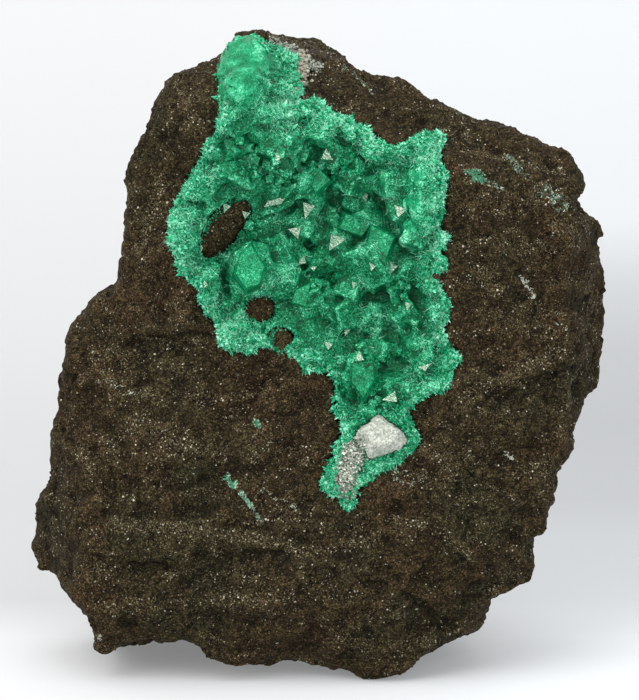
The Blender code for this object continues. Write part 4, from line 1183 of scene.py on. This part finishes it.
# Small crystals around the calcite and the windows, along lines of the picture: piece, form,
# finish, line, how many, how far they scatter in the picture, and shortest, longest and stoutness.
TRIM = [
    ("tail_grains", "rhomb", "grey", [(358, 440), (353, 452), (349, 466), (346, 480), (348, 496)],
     480, 5.2, (0.15, 0.42, 0.6)),
    ("tail_blades", "blade", "thread white", [(358, 444), (352, 456), (348, 470), (345, 488)],
     460, 5.0, (0.4, 0.9, 0.13)),
    ("tail_sparks", "rhomb", "thread white", [(358, 446), (352, 458), (348, 472), (345, 488)],
     150, 5.5, (0.2, 0.4, 0.5)),
    ("tail_rim", "rhomb", "grey", [(350, 444), (341, 461), (338, 476), (342, 490), (350, 486),
                                   (357, 472), (362, 460), (358, 446)], 420, 1.5, (0.2, 0.5, 0.5)),
    ("tail_green", "tooth", "small", [(352, 448), (354, 462), (350, 478), (342, 490)],
     240, 5.5, (0.2, 0.4, 0.45)),
    ("crystal_foot", "tooth", "small", [(354, 434), (367, 419), (380, 411), (394, 418), (409, 433),
                                        (406, 447), (391, 456), (374, 459)],
     760, 1.8, (0.35, 0.8, 0.35)),
    *[(f"window_fringe_{number}", "blade", "small", around(window), 11 * sum(window[1]), 1.5,
       (0.2, 0.5, 0.24)) for number, window in enumerate(WINDOWS, 1)],
    ("crest_grains", "rhomb", "grey", [(268, 43), (284, 46), (300, 54), (311, 64), (320, 68)],
     330, 3.0, (0.15, 0.4, 0.6)),
    ("crest_crystals", "rhomb", "pale grey", [(300, 54), (303, 64), (303, 74), (303, 83)],
     90, 3.0, (0.3, 0.7, 0.6)),
    ("tail_tip", "tooth", "small", [(345, 503), (353, 505)], 60, 2.5, (0.25, 0.55, 0.45)),
]

# Those that stand on the crust and the ore only, and the slot of each finish.
GROUNDED = ("tail_rim", "crystal_foot")
TRIM_SLOTS = {"small": "green_crystal", "thread white": "white_calcite", "grey": "grey_calcite",
              "pale grey": "grey_calcite"}


def grow_trim(materials, everything, ground):
    """Small crystals where the calcite pieces meet the crust and the ore, which are the ground."""
    rng = np.random.default_rng(21)
    for name, form, finish, line, count, spread, size in TRIM:
        tree = ground if name in GROUNDED else everything
        grow_along(name, form, line, count, spread, size, tree, rng, TRIM_SLOTS[finish],
                   materials[finish])


# Floor and light.


# The sheet's painted shade, for the fall of the light and the soft shadow at the right: from the
# floor under the specimen (0) to PAPER_REACH mm behind it (1), at the left and at the right, each
# after its red and blue tint.
PAPER_REACH = 220.0
PAPER_PAINTED_SHADE = [
    ((1.0, 1.0), [(0.02, 0.66), (0.11, 0.51), (0.33, 0.49), (0.46, 0.485), (0.6, 0.505),
                  (0.75, 0.52), (1.0, 0.555)]),
    ((0.98, 1.015), [(0.02, 0.74), (0.11, 0.60), (0.33, 0.40), (0.46, 0.36), (0.58, 0.37),
                     (0.66, 0.42), (0.75, 0.545), (1.0, 0.575)]),
]

# The sheet glows, though it is no lamp: painted light that keeps its shadows soft. It reflects less
# in return.
PAPER_GLOW = 0.3
PAPER_DULL = (0.79, 0.79, 0.79)


# The sheet's half width, its front edge, where it starts to rise, the radius of its bend and the
# height of its upper edge, all in metres.
SHEET_HALF, SHEET_FRONT, SHEET_RISE, SHEET_BEND, SHEET_TOP = 1.6, -0.9, 0.03, 0.3, 1.4


def make_stage():
    """A pale sheet with painted shade and a painted glow, that runs back over the floor and curves
    up behind. From its back it is clear.
    """
    bm = bmesh.new()
    profile = [(SHEET_FRONT, 0.0)]
    for step in range(25):
        angle = math.radians(90 * step / 24)
        profile.append((SHEET_RISE + SHEET_BEND * math.sin(angle),
                        SHEET_BEND * (1 - math.cos(angle))))
    profile.append((SHEET_RISE + SHEET_BEND, SHEET_TOP))
    rows = [[bm.verts.new((x, y, z)) for x in (-SHEET_HALF, SHEET_HALF)] for y, z in profile]
    for low, high in zip(rows, rows[1:]):
        bm.faces.new([low[0], low[1], high[1], high[0]]).smooth = True
    mesh = bpy.data.meshes.new("pale_sheet")
    bm.to_mesh(mesh)
    bm.free()
    sheet = put_in("pale_sheet", mesh)
    material, s, shader, point = new_material("pale paper")
    parts = s.node("SeparateXYZ", Vector=point).outputs
    back = s.calc("DIVIDE", parts[1], PAPER_REACH, clamp=True)
    # Painted shade over the sheet, darker on the bend and at the right.
    left, right = (s.ramp(back, [(place, (tint[0] * level, level, tint[1] * level))
                                 for place, level in shades])
                   for tint, shades in PAPER_PAINTED_SHADE)
    paper = s.mix(s.span(parts[0], -40.0, 36.0), left, right)
    s.feed(shader.inputs["Base Color"], s.mix(1.0, paper, PAPER_DULL, "MULTIPLY"))
    # Painted light: the sheet glows with its own colour.
    s.feed(shader.inputs["Emission Color"], paper)
    set_values(shader, Emission_Strength=PAPER_GLOW, Roughness=0.75)
    seen_from_back = s.node("NewGeometry").outputs["Backfacing"]
    s.feed(shader.inputs["Alpha"], s.calc("SUBTRACT", 1.0, seen_from_back))
    mesh.materials.append(material)


# Lamps: place in metres, width and height, and power in watts.
LAMPS = {
    "window_left": ((-0.5, -0.5, 0.6), (0.7, 0.7), 6.0),
    "soft_front": ((0.45, -0.85, 0.35), (0.8, 0.8), 4.4),
    "top": ((0.0, -0.1, 0.8), (0.9, 0.7), 4.4),
}
LAMPS_AIM = Vector((0.0, -0.01, 0.04))


def make_light():
    for name, (place, size, power) in LAMPS.items():
        data = bpy.data.lights.new(name, "AREA")
        data.shape = "RECTANGLE"
        data.size, data.size_y = size
        data.energy = power
        lamp = put_in(name, data)
        lamp.location = place
        lamp.rotation_euler = (LAMPS_AIM - Vector(place)).to_track_quat("-Z", "Y").to_euler()
    world = bpy.data.worlds.new("studio")
    world.use_nodes = True
    set_values(world.node_tree.nodes["Background"], Color=(0.93, 0.96, 1.0, 1), Strength=0.56)
    scene.world = world


# Put together.

# Green and white marks on the ore: ends in the picture, half width in mm, raggedness, colour and
# strength.
GREEN_MARK = (0.045, 0.19, 0.105)
TEAL_MARK = (0.045, 0.085, 0.066)
WHITE_MARK = (0.36, 0.36, 0.29)
MARKS = [
    ((472, 173), (483, 178), 0.9, 0.8, GREEN_MARK, 0.8),
    ((484, 178), (500, 188), 0.6, 1.0, TEAL_MARK, 0.5),
    ((509, 158), (524, 174), 0.6, 0.9, (0.09, 0.15, 0.11), 0.5),
    ((524, 174), (540, 190), 0.5, 1.0, (0.09, 0.15, 0.11), 0.3),
    ((545, 192), (564, 206), 1.1, 1.0, TEAL_MARK, 0.5),
    ((255, 422), (259, 426), 0.6, 0.6, GREEN_MARK, 0.7),
    ((226, 477), (235, 486), 0.62, 0.8, GREEN_MARK, 0.75),
    ((241, 492), (251, 506), 0.42, 0.8, (0.09, 0.22, 0.14), 0.75),
    ((252, 508), (262, 522), 0.35, 0.9, (0.12, 0.2, 0.15), 0.6),
    ((343, 67), (360, 80), 0.5, 0.9, (0.08, 0.15, 0.11), 0.5),
    ((360, 80), (376, 94), 0.4, 0.9, (0.08, 0.15, 0.11), 0.45),
    ((263, 491), (278, 498), 0.6, 1.0, WHITE_MARK, 0.3),
    ((278, 498), (294, 508), 0.6, 1.0, WHITE_MARK, 0.36),
    ((385, 466), (400, 470), 1.0, 1.0, WHITE_MARK, 0.22),
    ((396, 480), (424, 478), 1.1, 1.0, WHITE_MARK, 0.2),
    ((525, 281), (533, 296), 0.5, 1.0, WHITE_MARK, 0.6),
    ((519, 276), (524, 278), 0.3, 1.0, WHITE_MARK, 0.5),
    ((505, 452), (511, 458), 0.5, 1.0, WHITE_MARK, 0.45),
    ((556, 322), (566, 328), 0.4, 1.0, WHITE_MARK, 0.35),
    ((98, 634), (101, 640), 0.4, 0.6, WHITE_MARK, 0.45),
    ((176, 437), (181, 440), 0.3, 0.6, WHITE_MARK, 0.6),
    ((100, 383), (122, 386), 0.7, 1.0, WHITE_MARK, 0.3),
    ((130, 390), (140, 396), 0.6, 1.0, WHITE_MARK, 0.3),
]
# Lines where the flakes are thick and their palest tones paint glints: ends in the picture and half
# width in mm.
GLINTS = [
    ((532, 194), (546, 184), 1.0), ((560, 225), (580, 245), 1.8), ((80, 452), (92, 470), 1.6),
    ((140, 420), (185, 440), 1.8), ((205, 634), (214, 636), 0.8), ((205, 540), (216, 550), 1.2),
    ((480, 270), (494, 290), 1.3), ((94, 356), (112, 384), 1.0), ((128, 388), (150, 394), 0.9),
    ((106, 440), (130, 432), 1.2), ((112, 524), (190, 530), 1.2), ((190, 530), (290, 545), 1.2),
    ((300, 552), (375, 540), 1.1), ((350, 510), (420, 524), 1.0), ((462, 400), (520, 372), 1.4),
    ((520, 372), (562, 352), 1.1), ((440, 530), (470, 556), 1.0), ((560, 430), (572, 380), 1.0),
    ((180, 86), (194, 120), 1.2), ((160, 180), (140, 250), 1.0), ((460, 150), (560, 170), 1.0),
]


# Calcite: its dark and light colour, size of its clouds in mm, roughness, depth of its grain in mm
# and how milky it is.
CALCITE = {
    "milky": ((0.29, 0.34, 0.27), (0.84, 0.85, 0.75), 0.4, 0.3, 0.3, 0.25),
    "grey": ((0.03, 0.042, 0.028), (0.40, 0.44, 0.34), 0.5, 0.4, 0.2),
    "pale grey": ((0.10, 0.10, 0.066), (0.52, 0.49, 0.36), 0.4, 0.35, 0.1),
    "thread white": ((0.24, 0.27, 0.21), (0.88, 0.88, 0.78), 0.3, 0.3, 0.02, 0.0),
}
FILMED_CALCITE = ((0.055, 0.055, 0.045), (0.24, 0.235, 0.20), 0.6, 0.4, 0.12)

# Where the grey calcite at the crest is bare of ore, and half its width in mm.
BARE_CREST = [((272, 45), (290, 50), 0.9), ((290, 50), (303, 60), 0.7), ((303, 60), (320, 66), 0.45)]


def main():
    make_camera()
    rock = make_ore(ore_material(lines_on("bornite_matrix", MARKS),
                                 lines_on("bornite_matrix", GLINTS)))
    crust = make_crust(green_material("green crystal mass", crust_light, 0.58, 0.3, 0.14))
    materials = {
        "points": green_material("green crystal points", small_light, 0.5, 0.25, 0.06),
        "small": green_material("small green crystals", small_light, 0.3, 0.25, 0.02),
        "blade": green_material("frosted rim blades", blade_light, 0.14, 0.3, 0.02),
        "needle": green_material("pale needles", needle_light, 0.15, 0.3, 0.01),
    }
    tree = grow_small_crystals(crust, rock, materials)
    make_faces(tree, pale_material(), materials["small"], materials["points"])
    for finish, values in CALCITE.items():
        materials[finish] = calcite_material(finish + " calcite", *values)
    bare = lines_on("grey_calcite_cap", BARE_CREST)
    filmed = calcite_material("grey calcite under ore", *FILMED_CALCITE, bare=bare)
    white = make_calcite("white_calcite_crystal", "white_crystal", 0.14,
                         materials["milky"], rounds=0, coarse=0.15, fine=0.10, swell=0.12)
    cap = make_calcite("grey_calcite_cap", "grey_crest", 0.2, filmed,
                       rounds=3, coarse=0.3, fine=0.2)
    tail = make_calcite("grey_calcite_vein", "grey_tail", 0.12, materials["grey"],
                        rounds=2, coarse=0.25, fine=0.3, swell=0.35)
    grow_trim(materials, tree_of(crust, rock, white, cap, tail), tree_of(crust, rock))
    make_stage()
    make_light()


main()
